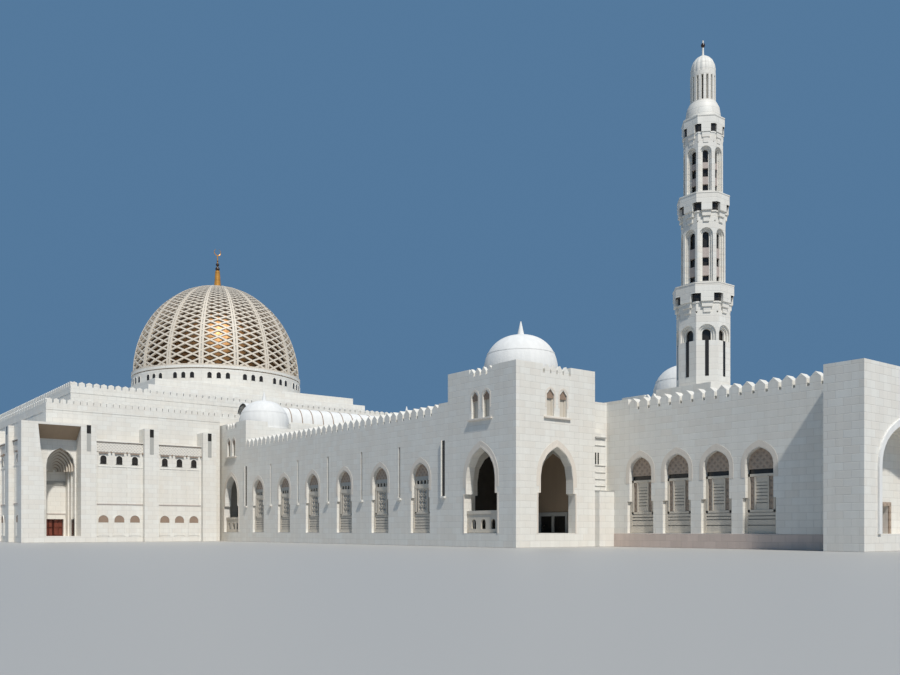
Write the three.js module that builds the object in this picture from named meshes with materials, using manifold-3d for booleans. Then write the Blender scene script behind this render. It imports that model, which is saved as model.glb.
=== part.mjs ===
// A domed prayer hall with a walled forecourt and a minaret, as a 1:10 model in millimetres.
// +X is to the right of the gate, +Y runs from the gate to the prayer hall, +Z is up.
// The origin lies on the ground in the middle of the whole footprint.
import * as THREE from 'three';
import { mergeVertices } from 'three/addons/utils/BufferGeometryUtils.js';
import Module from 'manifold-3d';

const wasm = await Module();
wasm.setup();

// Scale: one metre of the building is this many millimetres of the model.
const M = 100;
const GAP = 0.3;
const CUT = 0.5 * M;
const LAP = 1;
const ARCH_BOW = 0.72;

// Prayer hall, square in plan
const HALL_Y = 43.85 * M;
const HALL_HALF = 41.4 * M;
const HALL_WALL = 1.2 * M;
const HALL_FLOOR = 0.8 * M;
const HALL_TOP = 18.3 * M;
const PYLON_REACH = 3.75 * M;
const PYLON_WIDTH = 1.95 * M;
const PYLON_TOP = 15.3 * M;
const PYLON_PITCH = 8.23 * M;
const PYLON_OUTER = 4.5 * PYLON_PITCH;
const BAY_REACH = 3 * M;
const BAY_TOP = 12.95 * M;
const TERRACE_TOP = 17.4 * M;
// The front wall stands forward of the hall's square on both sides of the forecourt
const FORWARD = { reach: 1.5 * M, end: 41.73 * M, start: 18.1 * M, top: 18.1 * M };
const SLAB = 0.4 * M;

// Small openings in a bay between two pylons
const BAY_SPREAD = 2.07 * M;
const RECESS = 0.5 * M;
const HIGH_WINDOW = { width: 0.8 * M, sill: 10.3 * M, spring: 10.95 * M, apex: 11.4 * M };
const LOW_WINDOW = { width: 1.3 * M, sill: HALL_FLOOR, spring: 2.9 * M, apex: 3.6 * M };

// Corner niche with the door at its back
const NICHE_OUT = HALL_HALF + PYLON_REACH - PYLON_WIDTH;
const NICHE_IN = PYLON_OUTER + PYLON_WIDTH / 2;
const NICHE_DEPTH = 5.45 * M;
const NICHE_END = HALL_HALF + PYLON_REACH - NICHE_IN;
const NICHE_BACK = 0.5 * M;
const NICHE_SIDE = 1.3 * M;
const NICHE_SOFFIT = 15 * M;
const NICHE_X = 39.95 * M;
const NICHE_STEPS = [
  { width: 3.5 * M, apex: 12.3 * M, spring: 9.9 * M, from: PYLON_REACH - FORWARD.reach },
  { width: 3.2 * M, apex: 12.1 * M, spring: 9.9 * M, from: 3.3 * M },
  { width: 2.9 * M, apex: 11.9 * M, spring: 9.9 * M, from: 4.35 * M },
];

// Doors
const DOOR_WIDTH = 2.4 * M;
const DOOR_HEIGHT = 2.25 * M;
const LEAF = 0.12 * M;
const CLEAR = 0.06 * M;
const DOOR_PIN = 0.035 * M;

// Upper storey, platform, drum and dome
const UPPER_HALF = 37.2 * M;
const UPPER_TOP = 21.4 * M;
const UPPER_ROOF = 20.5 * M;
const STEP_HALF = 20.8 * M;
const STEP_TOP = 25.4 * M;
const PLATFORM_HALF = 19.15 * M;
const PLATFORM_TOP = 26.8 * M;
const DRUM_R = 15.87 * M;
const DRUM_WALL = 1.4 * M;
const DRUM_TOP = 31 * M;
const DRUM_LIP = 0.1 * M;
const DRUM_BAND = 0.4 * M;
const DOME_R = 15.66 * M;
const DOME_TOP = 49 * M;
const SHELL_R = 14.5 * M;
const SHELL_WALL = 0.4 * M;
const SHELL_TOP = 47.8 * M;
const CROWN_ANGLE = 71;
const RIBS = 16;
const RIB_WIDTH = 0.9 * M;
const RIB_DEPTH = 0.6 * M;
const RIB_LAP = 3;
const CAGE_RING = 0.3 * M;
const DRUM_WINDOW = { width: 0.75 * M, sill: 28.7 * M, top: 29.75 * M, pitch: 5.73 };

// Forecourt: two side wings, their corner pavilions and the link between them
const WING_OUT = 17.8 * M;
const WING_IN = 9.8 * M;
const WING_WALL = 0.9 * M;
const WING_FLOOR = 1.3 * M;
const WING_START = -52.75 * M;
const WING_END = -7.15 * M;
const WING_TOP = 13 * M;
const WING_ROOF = 12.6 * M;
const MERLON = 1.1 * M;
const MERLON_SHARE = 0.78;
const MERLON_SHOULDER = 0.6;
const WING_MERLONS = 36;
const WING_SOLID = 1.5 * M;
const WING_BAY = 7.43 * M;
const WING_BAYS = 6;
const WING_BAY_FIRST = -48.13 * M;
const WING_ARCH = { width: 2.9 * M, sill: WING_FLOOR, spring: 6.9 * M, apex: 8.45 * M };
const WING_FOOT = { width: 3.3 * M, sill: WING_FLOOR, top: 4.9 * M };
const SLOT = { width: 0.3 * M, sill: 5 * M, top: 10.3 * M };
const PAV_OUT = 17.8 * M;
const PAV_IN = 7.6 * M;
const PAV_NEAR = -62.65 * M;
const PAV_FAR_END = 2.45 * M;
const PAV_TOP = 16.8 * M;
const PAV_NOTCH = 16 * M;
const PAV_CORNER = 3.3 * M;
const PAV_ROOF = 15.4 * M;
const PAV_ARCH = { width: 4.2 * M, sill: WING_FLOOR, spring: 6.3 * M, apex: 9.3 * M };
const PAV_FOOT = { width: 4.8 * M, sill: WING_FLOOR, top: 5 * M };
const PAV_PAIR = { width: 0.95 * M, sill: 12.1 * M, spring: 14.1 * M, apex: 14.6 * M, offset: 0.83 * M };
const PAV_DOME_R = 3.62 * M;
const PAV_DOME_RING = 3.75 * M;
const PAV_DOME_BASE = 16.6 * M;
const PAV_DOME_TOP = 20.45 * M;
const PAV_DOME_BOW = 0.87;
const PAV_DOME_WALL = 0.4 * M;
// The spike on a pavilion dome above its crown, as radius and height
const PAV_SPIKE = [[0.33, 0], [0.28, 0.3], [0.05, 1.4]];

// Flat link between the far pavilions, and the vault along the front edge of the hall's roof
const BACK_LINK_TOP = 15.2 * M;
const VAULT_CROWN = 20.9 * M;
const VAULT_SHELL = 0.35 * M;
const VAULT_HALF = 12.9 * M;

// Front link and gate wing
const LINK_Y = -62.25 * M;
const LINK_END = -53 * M;
const LINK_TOP = 14 * M;
const ORIEL = { width: 1.5 * M, reach: 0.35 * M, low: 5.4 * M, top: 11 * M };
const FOOT = { reach: 0.98 * M, top: 5.3 * M };
const GATE_HALF = 5.5 * M;
const GATE_BACK = -85.85 * M;
const GATE_FRONT = -89 * M;
const GATE_WIDE = 7.6 * M;
const GATE_MERLONS = 17;
const GATE_SOLID = 3.6 * M;
const GATE_BAYS = 4;
const GATE_BAY = 4.2 * M;
const GATE_BAY_FIRST = -79.03 * M;
const GATE_ARCH = { width: 2.62 * M, sill: WING_FLOOR, spring: 7.1 * M, apex: 8.5 * M };
const GATE_FOOT = { width: 3.1 * M, sill: WING_FLOOR, top: 4.3 * M };
const PORCH = { width: 10.4 * M, apex: 10.2 * M, spring: 6.4 * M };
const GATE_WALL = 0.6 * M;

// Minaret on the axis, octagonal above a square base
const MINARET_Y = -69.45 * M;
const MINARET_BASE = 3.1 * M;
const MINARET_FOOT = 15 * M;
const MINARET_WALL = 0.55 * M;
const BALCONY_RAIL = 0.8 * M;
const RAIL_WALL = 0.25 * M;
const CORBEL = 1.7 * M;
const TIER_ARCH = 0.3;
const TIER_SILL = 1.4 * M;
// Each storey: width over its flats, foot, arch crown, balcony floor, parapet top and balcony width, in metres
const TIERS = [
  { name: 'lower', flat: 4.7, low: 15, crown: 20.7, deck: 23.5, top: 24.5, reach: 5.35 },
  { name: 'middle', flat: 3.87, low: 23.7, crown: 29.8, deck: 32.05, top: 33, reach: 4.57 },
  { name: 'upper', flat: 3.45, low: 32.2, crown: 37.5, deck: 39.5, top: 40.35, reach: 3.75 },
];
const BELL_R = 1.6 * M;
const BELL_TOP = 40.9 * M;
const SHOULDER_R = 1.5 * M;
const SHOULDER_TOP = 41.6 * M;
const LANTERN_R = 1.17 * M;
const LANTERN_WALL = 0.38 * M;
const LANTERN_LOW = 42 * M;
const LANTERN_TOP = 44.9 * M;
const LANTERN_SLOT = { count: 16, width: 0.22 * M, sill: 42.3 * M, top: 44.6 * M };
// The lantern's dome, ball and spike above its top, as radius and height
const LANTERN_CAP = [
  [1.17, 0.5], [1.02, 1.1], [0.72, 1.55], [0.29, 1.8], [0.1, 1.85],
  [0.1, 2.4], [0.2, 2.7], [0.1, 2.95], [0.04, 3.3],
];

// Finial on the great dome, as radius and height
const FINIAL = [
  [0.68, 0], [0.6, 1.2], [0.44, 3.2], [0.3, 3.3], [0.44, 3.65], [0.3, 4], [0.16, 4.15],
  [0.33, 4.5], [0.16, 4.85], [0.1, 5.2], [0.08, 7.8],
];

const STONE = { color: 0xe6e4da, roughness: 0.55, metalness: 0 };
const SHADED_STONE = { color: 0xd8d4c8, roughness: 0.6, metalness: 0 };
const ROOF_STONE = { color: 0xf0efea, roughness: 0.6, metalness: 0 };
const FLOOR_STONE = { color: 0xd9c3b2, roughness: 0.5, metalness: 0 };
const GOLD = { color: 0xb98a45, roughness: 0.35, metalness: 0.7 };
const TIMBER = { color: 0x6b2a1a, roughness: 0.45, metalness: 0 };

const model = new THREE.Group();

// A three.js geometry as a manifold solid: shared corners merged and slivers dropped.
function solidOf(geometry) {
  geometry.deleteAttribute('normal');
  geometry.deleteAttribute('uv');
  const merged = mergeVertices(geometry, 1e-3);
  const corners = merged.index.array;
  const kept = [];
  for (let i = 0; i < corners.length; i += 3) {
    const [a, b, c] = [corners[i], corners[i + 1], corners[i + 2]];
    if (a !== b && b !== c && c !== a) kept.push(a, b, c);
  }
  const mesh = new wasm.Mesh({
    numProp: 3,
    vertProperties: new Float32Array(merged.attributes.position.array),
    triVerts: new Uint32Array(kept),
  });
  return new wasm.Manifold(mesh);
}

// A block between two corners.
function block(x0, x1, y0, y1, z0, z1) {
  const box = new THREE.BoxGeometry(x1 - x0, y1 - y0, z1 - z0);
  box.translate((x0 + x1) / 2, (y0 + y1) / 2, (z0 + z1) / 2);
  return solidOf(box);
}

function join(solids) {
  return solids.reduce((sum, next) => sum.add(next));
}

// An outline pushed through a depth and moved into place, with its openings cut right through.
function pushed(shape, depth, placing, segments) {
  const push = (outline, overrun) => {
    const options = { depth: depth + 2 * overrun, bevelEnabled: false, curveSegments: segments };
    const geometry = new THREE.ExtrudeGeometry(outline, options);
    geometry.translate(0, 0, -overrun);
    geometry.applyMatrix4(placing);
    return solidOf(geometry);
  };
  const plain = new THREE.Shape(shape.getPoints(segments));
  const cutters = shape.holes.map((opening) => push(opening, CUT));
  return cutters.reduce((plate, cutter) => plate.subtract(cutter), push(plain, 0));
}

// An upright plate facing the gate: its outline is drawn in X and Z and it fills y0 to y1.
function plateAlongX(shape, y0, y1, segments = 4) {
  const placing = new THREE.Matrix4().makeRotationX(Math.PI / 2).setPosition(0, y1, 0);
  return pushed(shape, y1 - y0, placing, segments);
}

// An upright plate facing sideways: its outline is drawn in Y and Z and it fills x0 to x1.
function plateAlongY(shape, x0, x1, segments = 4) {
  const [x, y, z] = [new THREE.Vector3(1, 0, 0), new THREE.Vector3(0, 1, 0), new THREE.Vector3(0, 0, 1)];
  const placing = new THREE.Matrix4().makeBasis(y, z, x).setPosition(x0, 0, 0);
  return pushed(shape, x1 - x0, placing, segments);
}

// A turned body about the vertical line through x and y; the profile lists radius and height.
function turned(profile, sides, x, y, turn = 0) {
  const points = profile.map(([radius, height]) => new THREE.Vector2(radius, height));
  const lathe = new THREE.LatheGeometry(points, sides, turn);
  lathe.rotateX(Math.PI / 2);
  lathe.translate(x, y, 0);
  const solid = solidOf(lathe);
  if (solid.volume() > 0) return solid;
  const flipped = new THREE.LatheGeometry(points.reverse(), sides, turn);
  flipped.rotateX(Math.PI / 2);
  flipped.translate(x, y, 0);
  return solidOf(flipped);
}

// Puts a finished solid into the model under its own name.
function place(name, solid, look) {
  const { vertProperties, triVerts } = solid.getMesh();
  const geometry = new THREE.BufferGeometry();
  geometry.setAttribute('position', new THREE.BufferAttribute(new Float32Array(vertProperties), 3));
  geometry.setIndex(new THREE.BufferAttribute(new Uint32Array(triVerts), 1));
  geometry.computeVertexNormals();
  const mesh = new THREE.Mesh(geometry, new THREE.MeshStandardMaterial(look));
  mesh.name = name;
  model.add(mesh);
}

// Swaps left and right.
function mirrored(solid) {
  return solid.mirror([1, 0, 0]);
}

// Turns a solid of the hall half way round the hall's middle.
function turnedRound(solid) {
  return solid.translate([0, -HALL_Y, 0]).rotate([0, 0, 180]).translate([0, HALL_Y, 0]);
}

// Outline of a pointed opening, upright sides up to the spring and two curves to the apex.
function pointedArch(centre, { width, sill, spring, apex }) {
  const half = width / 2;
  const bow = spring + (apex - spring) * ARCH_BOW;
  const arch = new THREE.Shape();
  arch.moveTo(centre - half, sill);
  arch.lineTo(centre + half, sill);
  arch.lineTo(centre + half, spring);
  arch.quadraticCurveTo(centre + half, bow, centre, apex);
  arch.quadraticCurveTo(centre - half, bow, centre - half, spring);
  arch.closePath();
  return arch;
}

// The same opening with straight slopes, for windows too small for curves.
function gabled(centre, { width, sill, spring, apex }) {
  const half = width / 2;
  const corners = [[-half, sill], [half, sill], [half, spring], [0, apex], [-half, spring]];
  return new THREE.Shape(corners.map(([x, z]) => new THREE.Vector2(centre + x, z)));
}

function upright(low, high, bottom, top) {
  const corners = [[low, bottom], [high, bottom], [high, top], [low, top]];
  return new THREE.Shape(corners.map(([x, z]) => new THREE.Vector2(x, z)));
}

// A pointed opening with a wider foot, as the two outlines that are cut.
function footed(centre, arch, foot) {
  const half = foot.width / 2;
  return [pointedArch(centre, arch), upright(centre - half, centre + half, foot.sill, foot.top)];
}

// Outline of a wall whose top carries pointed merlons between first and last.
function crenellated(start, end, top, first, last, count) {
  const pitch = (last - first) / count;
  const tooth = pitch * MERLON_SHARE;
  const shoulder = top + MERLON * MERLON_SHOULDER;
  const wall = new THREE.Shape();
  wall.moveTo(start, 0);
  wall.lineTo(end, 0);
  if (last < end) {
    wall.lineTo(end, top + MERLON);
    wall.lineTo(last, top + MERLON);
  } else {
    wall.lineTo(end, top);
  }
  for (let i = count - 1; i >= 0; i -= 1) {
    const left = first + i * pitch + (pitch - tooth) / 2;
    wall.lineTo(left + tooth, top);
    wall.lineTo(left + tooth, shoulder);
    wall.lineTo(left + tooth / 2, top + MERLON);
    wall.lineTo(left, shoulder);
    wall.lineTo(left, top);
  }
  if (first > start) {
    wall.lineTo(first, top + MERLON);
    wall.lineTo(start, top + MERLON);
  } else {
    wall.lineTo(start, top);
  }
  wall.closePath();
  return wall;
}

// Pylon centres along one side of the hall, from the middle outwards.
function pylonCentres(withMiddle) {
  const count = withMiddle ? 5 : 3;
  return Array.from({ length: count }, (_, index) => PYLON_OUTER - index * PYLON_PITCH);
}

// The middles of the bays between those pylons, on both sides of the hall's middle.
function bayCentres(withMiddle) {
  const pylons = pylonCentres(withMiddle);
  const middles = pylons.slice(1).map((inner, index) => (inner + pylons[index]) / 2);
  const both = [...middles, ...middles.map((middle) => -middle)];
  return withMiddle ? [...both, 0] : both;
}

// One bay facing the gate: a block against the wall with six shallow recesses for its windows.
function bay(centre, face) {
  const half = (PYLON_PITCH - PYLON_WIDTH) / 2 + LAP;
  const front = face - BAY_REACH;
  let solid = block(centre - half, centre + half, front, face + LAP, 0, BAY_TOP);
  for (const shift of [-BAY_SPREAD, 0, BAY_SPREAD]) {
    for (const outline of [gabled(centre + shift, LOW_WINDOW), gabled(centre + shift, HIGH_WINDOW)]) {
      solid = solid.subtract(plateAlongX(outline, front - CUT, front + RECESS));
    }
  }
  return solid;
}

// Left corner niche: pier, side wall, roof, floor, and a back wall of three stepped arches.
function cornerNiche(withDoor) {
  const front = HALL_Y - HALL_HALF - PYLON_REACH;
  const back = front + NICHE_DEPTH;
  const end = front + NICHE_END - GAP;
  const edge = HALL_HALF + PYLON_REACH;
  const pieces = [
    block(-edge, -NICHE_OUT, front, front + PYLON_WIDTH, 0, PYLON_TOP),
    block(-NICHE_OUT - NICHE_SIDE, -NICHE_OUT, front, end, 0, PYLON_TOP),
    block(-NICHE_OUT - NICHE_SIDE, -NICHE_IN + GAP, front, end, NICHE_SOFFIT, PYLON_TOP),
    block(-NICHE_OUT - NICHE_SIDE, -NICHE_IN, front, end, 0, HALL_FLOOR),
    block(-HALL_HALF, -HALL_HALF + HALL_WALL, back - CUT, end, PYLON_TOP - LAP, HALL_TOP),
    block(-HALL_HALF, -HALL_HALF + HALL_WALL, back, end + PYLON_WIDTH - GAP, PYLON_TOP, HALL_TOP),
  ];
  const backWall = upright(-NICHE_OUT - LAP, -NICHE_IN + LAP, 0, PYLON_TOP);
  if (withDoor) {
    const half = DOOR_WIDTH / 2;
    backWall.holes.push(upright(-NICHE_X - half, -NICHE_X + half, HALL_FLOOR, HALL_FLOOR + DOOR_HEIGHT));
  }
  pieces.push(plateAlongX(backWall, back, back + NICHE_BACK));
  const steps = withDoor ? NICHE_STEPS : NICHE_STEPS.slice(0, 1);
  steps.forEach((step, index) => {
    const next = steps[index + 1];
    const screen = upright(-NICHE_OUT - LAP, -NICHE_IN + LAP, 0, NICHE_SOFFIT + LAP);
    screen.holes.push(pointedArch(-NICHE_X, { ...step, sill: HALL_FLOOR }));
    pieces.push(plateAlongX(screen, front + step.from, next ? front + next.from + LAP : back + LAP, 3));
  });
  return join(pieces);
}

// Front wall of the hall with its pylons and both corner niches.
function hallFrontWall(withMiddle) {
  const face = HALL_Y - HALL_HALF;
  const wall = upright(-NICHE_IN, NICHE_IN, 0, HALL_TOP);
  if (!withMiddle) wall.holes.push(pointedArch(0, { ...PAV_ARCH, sill: HALL_FLOOR }));
  const pieces = [plateAlongX(wall, face, face + HALL_WALL)];
  for (const centre of bayCentres(withMiddle)) pieces.push(bay(centre, face));
  for (const side of [-1, 1]) {
    const [low, high] = [side * HALL_HALF, side * (NICHE_IN - LAP)].sort((a, b) => a - b);
    pieces.push(block(low, high, face, face + HALL_WALL, PYLON_TOP - LAP, HALL_TOP));
    for (const centre of pylonCentres(withMiddle)) {
      const [x, half] = [side * centre, PYLON_WIDTH / 2];
      pieces.push(block(x - half, x + half, face - PYLON_REACH, face + LAP, 0, PYLON_TOP));
    }
  }
  const front = face - FORWARD.reach;
  const forward = join([
    block(-NICHE_IN, -FORWARD.start, front, face + LAP, 0, FORWARD.top),
    block(-FORWARD.end, -FORWARD.start, front, face + LAP, PYLON_TOP - LAP, FORWARD.top),
  ]);
  const niche = cornerNiche(!withMiddle);
  const corner = withMiddle ? niche : niche.add(forward);
  return join([...pieces, corner, mirrored(corner)]);
}

// Left wall of the hall; its end pylons close the space behind the corner niches.
function hallLeftWall() {
  const low = HALL_Y - PYLON_OUTER + PYLON_WIDTH / 2;
  const high = HALL_Y + PYLON_OUTER - PYLON_WIDTH / 2;
  const wall = upright(low - GAP, high + GAP, 0, HALL_TOP);
  const pieces = [plateAlongY(wall, -HALL_HALF, -HALL_HALF + HALL_WALL)];
  for (const centre of bayCentres(true)) {
    pieces.push(bay(centre, -HALL_HALF).rotate([0, 0, -90]).translate([0, HALL_Y, 0]));
  }
  for (const centre of pylonCentres(true)) {
    const inner = centre === PYLON_OUTER ? -HALL_HALF + HALL_WALL : -HALL_HALF + LAP;
    for (const y of [HALL_Y - centre, HALL_Y + centre]) {
      const [y0, y1] = [y - PYLON_WIDTH / 2, y + PYLON_WIDTH / 2];
      pieces.push(block(-HALL_HALF - PYLON_REACH, inner, y0, y1, 0, PYLON_TOP - GAP));
    }
  }
  return join(pieces);
}

function squareRing(half, hole, z0, z1, centre = HALL_Y) {
  const outer = block(-half, half, centre - half, centre + half, z0, z1);
  return outer.subtract(block(-hole, hole, centre - hole, centre + hole, z0 - CUT, z1 + CUT));
}

function hallFloor() {
  const side = HALL_HALF - HALL_WALL - GAP;
  const deep = HALL_HALF + PYLON_REACH - NICHE_END - GAP;
  const wide = block(-side, side, HALL_Y - deep, HALL_Y + deep, 0, HALL_FLOOR);
  const narrow = NICHE_IN - LAP - GAP;
  const reach = HALL_HALF - HALL_WALL - GAP;
  return wide.add(block(-narrow, narrow, HALL_Y - reach, HALL_Y + reach, 0, HALL_FLOOR));
}

function roundTube(radius, z0, z1, sides) {
  return turned([[0, z0], [radius, z0], [radius, z1], [0, z1]], sides, 0, HALL_Y);
}

function domePlatform() {
  const step = block(-STEP_HALF, STEP_HALF, HALL_Y - STEP_HALF, HALL_Y + STEP_HALF, UPPER_ROOF + GAP, STEP_TOP);
  const [half, low] = [PLATFORM_HALF, STEP_TOP - LAP];
  const top = block(-half, half, HALL_Y - half, HALL_Y + half, low, PLATFORM_TOP);
  return step.add(top).subtract(roundTube(DRUM_R - DRUM_WALL, 0, PLATFORM_TOP + CUT, 32));
}

// Drum with sixteen groups of three small windows and a cornice.
function drum() {
  const [out, inner] = [DRUM_R, DRUM_R - DRUM_WALL];
  const [foot, band, lip] = [PLATFORM_TOP + GAP, DRUM_TOP - DRUM_BAND, out + DRUM_LIP];
  let ring = turned([
    [inner, foot], [out, foot], [out, band], [lip, band + DRUM_LIP],
    [lip, DRUM_TOP], [inner, DRUM_TOP], [inner, foot],
  ], 32, 0, HALL_Y);
  const { width, sill, top, pitch } = DRUM_WINDOW;
  const cutter = block(inner - M, out + M, -width / 2, width / 2, sill, top);
  for (let group = 0; group < RIBS; group += 1) {
    for (const shift of [-pitch, 0, pitch]) {
      const angle = group * (360 / RIBS) + shift;
      ring = ring.subtract(cutter.rotate([0, 0, angle]).translate([0, HALL_Y, 0]));
    }
  }
  return ring;
}

// A dome profile point at the given angle above the spring line; a bow under 1 swells the profile.
function domePoint(radius, base, top, degrees, bow = 1) {
  const angle = THREE.MathUtils.degToRad(degrees);
  return [radius * Math.cos(angle) ** bow, base + (top - base) * Math.sin(angle) ** bow];
}

function innerDome() {
  const steps = 6;
  const base = DRUM_TOP + GAP;
  const profile = [];
  for (let i = 0; i <= steps; i += 1) profile.push(domePoint(SHELL_R, base, SHELL_TOP, (90 * i) / steps));
  profile[steps][0] = 0;
  for (let i = steps; i >= 0; i -= 1) {
    profile.push(domePoint(SHELL_R - SHELL_WALL, base, SHELL_TOP - SHELL_WALL, (90 * i) / steps));
  }
  profile[steps + 1][0] = 0;
  profile.push(profile[0]);
  return turned(profile, 24, 0, HALL_Y);
}

// One rib: a curved bar over the dome from the spring line to the crown.
function domeRib() {
  const steps = 6;
  const pitch = (CROWN_ANGLE + RIB_LAP) / steps;
  const shape = new THREE.Shape();
  const at = (depth, i) => (
    new THREE.Vector2(...domePoint(DOME_R - depth, DRUM_TOP, DOME_TOP - depth, pitch * i))
  );
  const outline = [];
  for (let i = 0; i <= steps; i += 1) outline.push(at(0, i));
  for (let i = steps; i >= 0; i -= 1) outline.push(at(RIB_DEPTH, i));
  shape.setFromPoints(outline);
  return plateAlongX(shape, -RIB_WIDTH / 2, RIB_WIDTH / 2);
}

// The open cage over the inner dome: a base ring, sixteen ribs and the crown cap.
function domeCage() {
  const [inner, out] = [DOME_R - RIB_DEPTH, DOME_R + DRUM_LIP];
  const [low, high] = [DRUM_TOP + GAP, DRUM_TOP + CAGE_RING];
  const ring = [[inner, low], [out, low], [out, high], [inner, high], [inner, low]];
  const pieces = [turned(ring, 24, 0, HALL_Y)];
  const rib = domeRib();
  const ground = block(-DOME_R * 2, DOME_R * 2, -M, M, DRUM_TOP - M, DRUM_TOP + GAP);
  const trimmed = rib.subtract(ground);
  for (let i = 0; i < RIBS; i += 1) {
    pieces.push(trimmed.rotate([0, 0, ((i + 0.5) * 360) / RIBS]).translate([0, HALL_Y, 0]));
  }
  const angles = [CROWN_ANGLE, (CROWN_ANGLE + 90) / 2, 90];
  const outside = angles.map((angle) => domePoint(DOME_R, DRUM_TOP, DOME_TOP, angle));
  const inside = angles.map((angle) => domePoint(DOME_R - RIB_DEPTH, DRUM_TOP, DOME_TOP - RIB_DEPTH, angle));
  outside.at(-1)[0] = 0;
  inside.at(-1)[0] = 0;
  const cap = [...outside, ...inside.reverse()];
  cap.push(cap[0]);
  pieces.push(turned(cap, 16, 0, HALL_Y));
  return join(pieces);
}

function domeFinial() {
  const profile = FINIAL.map(([r, z]) => [r * M, DOME_TOP + GAP + z * M]);
  return turned([[0, profile[0][1]], ...profile, [0, profile.at(-1)[1]]], 10, 0, HALL_Y);
}

// Outer wall of the left wing: merlons, six arched windows and five slots.
function wingOuterWall() {
  const [start, end] = [WING_START + GAP, WING_END - GAP];
  const wall = crenellated(start, end, WING_TOP, start + WING_SOLID, end, WING_MERLONS);
  for (let i = 0; i < WING_BAYS; i += 1) {
    const centre = WING_BAY_FIRST + i * WING_BAY;
    wall.holes.push(...footed(centre, WING_ARCH, WING_FOOT));
    const slot = centre + WING_BAY / 2;
    if (i + 1 < WING_BAYS) {
      wall.holes.push(upright(slot - SLOT.width / 2, slot + SLOT.width / 2, SLOT.sill, SLOT.top));
    }
  }
  return plateAlongY(wall, -WING_OUT, -WING_OUT + WING_WALL);
}

function wingCourtWall() {
  const wall = upright(WING_START + GAP, WING_END - GAP, 0, WING_TOP);
  for (let i = 0; i < WING_BAYS; i += 1) {
    wall.holes.push(...footed(WING_BAY_FIRST + i * WING_BAY, WING_ARCH, WING_FOOT));
  }
  return plateAlongY(wall, -WING_IN - WING_WALL, -WING_IN);
}

function wingSlab(z0, z1) {
  const [x0, x1] = [-WING_OUT + WING_WALL + GAP, -WING_IN - WING_WALL - GAP];
  return block(x0, x1, WING_START + GAP, WING_END - GAP, z0, z1);
}

// Left pavilion: a square room with its floor, an arch in each side and paired windows above.
function pavilion(y0, y1) {
  const wall = WING_WALL;
  const [cx, cy] = [-(PAV_OUT + PAV_IN) / 2, (y0 + y1) / 2];
  let room = block(-PAV_OUT, -PAV_IN, y0, y1, 0, PAV_TOP);
  room = room.subtract(block(-PAV_OUT + wall, -PAV_IN - wall, y0 + wall, y1 - wall, WING_FLOOR, PAV_TOP + CUT));
  const [low, high] = [PAV_NOTCH, PAV_TOP + CUT];
  const [x0, x1] = [-PAV_OUT + PAV_CORNER, -PAV_IN - PAV_CORNER];
  room = room.subtract(block(x0, x1, y0 - CUT, y1 + CUT, low, high));
  room = room.subtract(block(-PAV_OUT - CUT, -PAV_IN + CUT, y0 + PAV_CORNER, y1 - PAV_CORNER, low, high));
  const across = (shape) => plateAlongX(shape, y0 - CUT, y1 + CUT, 3);
  const along = (shape) => plateAlongY(shape, -PAV_OUT - CUT, -PAV_IN + CUT, 3);
  for (const [cut, centre] of [[across, cx], [along, cy]]) {
    for (const outline of footed(centre, PAV_ARCH, PAV_FOOT)) room = room.subtract(cut(outline));
    for (const side of [-1, 1]) {
      room = room.subtract(cut(gabled(centre + side * PAV_PAIR.offset, PAV_PAIR)));
    }
  }
  return room;
}

// Pavilion roof: a slab inside the parapet, a low ring and the dome with its spike.
function pavilionRoof(y0, y1) {
  const wall = WING_WALL + GAP;
  const [cx, cy] = [-(PAV_OUT + PAV_IN) / 2, (y0 + y1) / 2];
  const plate = block(-PAV_OUT + wall, -PAV_IN - wall, y0 + wall, y1 - wall, PAV_ROOF - SLAB, PAV_ROOF);
  const shell = (inset, angle) => (
    domePoint(PAV_DOME_R - inset, PAV_DOME_BASE, PAV_DOME_TOP - inset, angle, PAV_DOME_BOW)
  );
  const ring = [[0, PAV_ROOF - LAP], [PAV_DOME_RING, PAV_ROOF - LAP], [PAV_DOME_RING, PAV_DOME_BASE]];
  const dome = [0, 20, 40, 60, 80].map((angle) => shell(0, angle));
  const spike = PAV_SPIKE.map(([r, z]) => [r * M, PAV_DOME_TOP + z * M]);
  const outside = [...ring, ...dome, ...spike, [0, spike.at(-1)[1]]];
  const ceiling = [0, 30, 60, 90].map((angle) => shell(PAV_DOME_WALL, angle));
  const hollow = [[0, 0], [ceiling[0][0], 0], ...ceiling];
  hollow.at(-1)[0] = 0;
  return plate.add(turned(outside, 16, cx, cy)).subtract(turned(hollow, 16, cx, cy));
}

// Flat roof with a low parapet between the far pavilions.
function linkRoof() {
  const [edge, y0, y1, low] = [PAV_IN - GAP, WING_END + GAP, PAV_FAR_END - GAP, BACK_LINK_TOP + GAP];
  const roof = block(-edge, edge, y0, y1, low, low + SLAB);
  return roof.add(block(-edge, edge, y0, y0 + WING_WALL, low, PAV_NOTCH));
}

// Barrel vault on the hall's front wall and terrace, open at both ends.
function frontVault() {
  const [near, far] = [HALL_Y - HALL_HALF, HALL_Y - UPPER_HALF - GAP];
  const spring = HALL_TOP + GAP;
  const steps = 8;
  const arc = (inset) => Array.from({ length: steps + 1 }, (_, i) => {
    const [half, rise] = [(far - near) / 2 - inset, VAULT_CROWN - spring - inset];
    const angle = (Math.PI * i) / steps;
    return new THREE.Vector2((near + far) / 2 + half * Math.cos(angle), spring + rise * Math.sin(angle));
  });
  const ring = new THREE.Shape([...arc(0), ...arc(VAULT_SHELL).reverse()]);
  const shell = plateAlongY(ring, -VAULT_HALF, VAULT_HALF);
  return shell.add(block(-VAULT_HALF, VAULT_HALF, far - VAULT_SHELL, far, TERRACE_TOP + GAP, spring + LAP));
}

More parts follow.
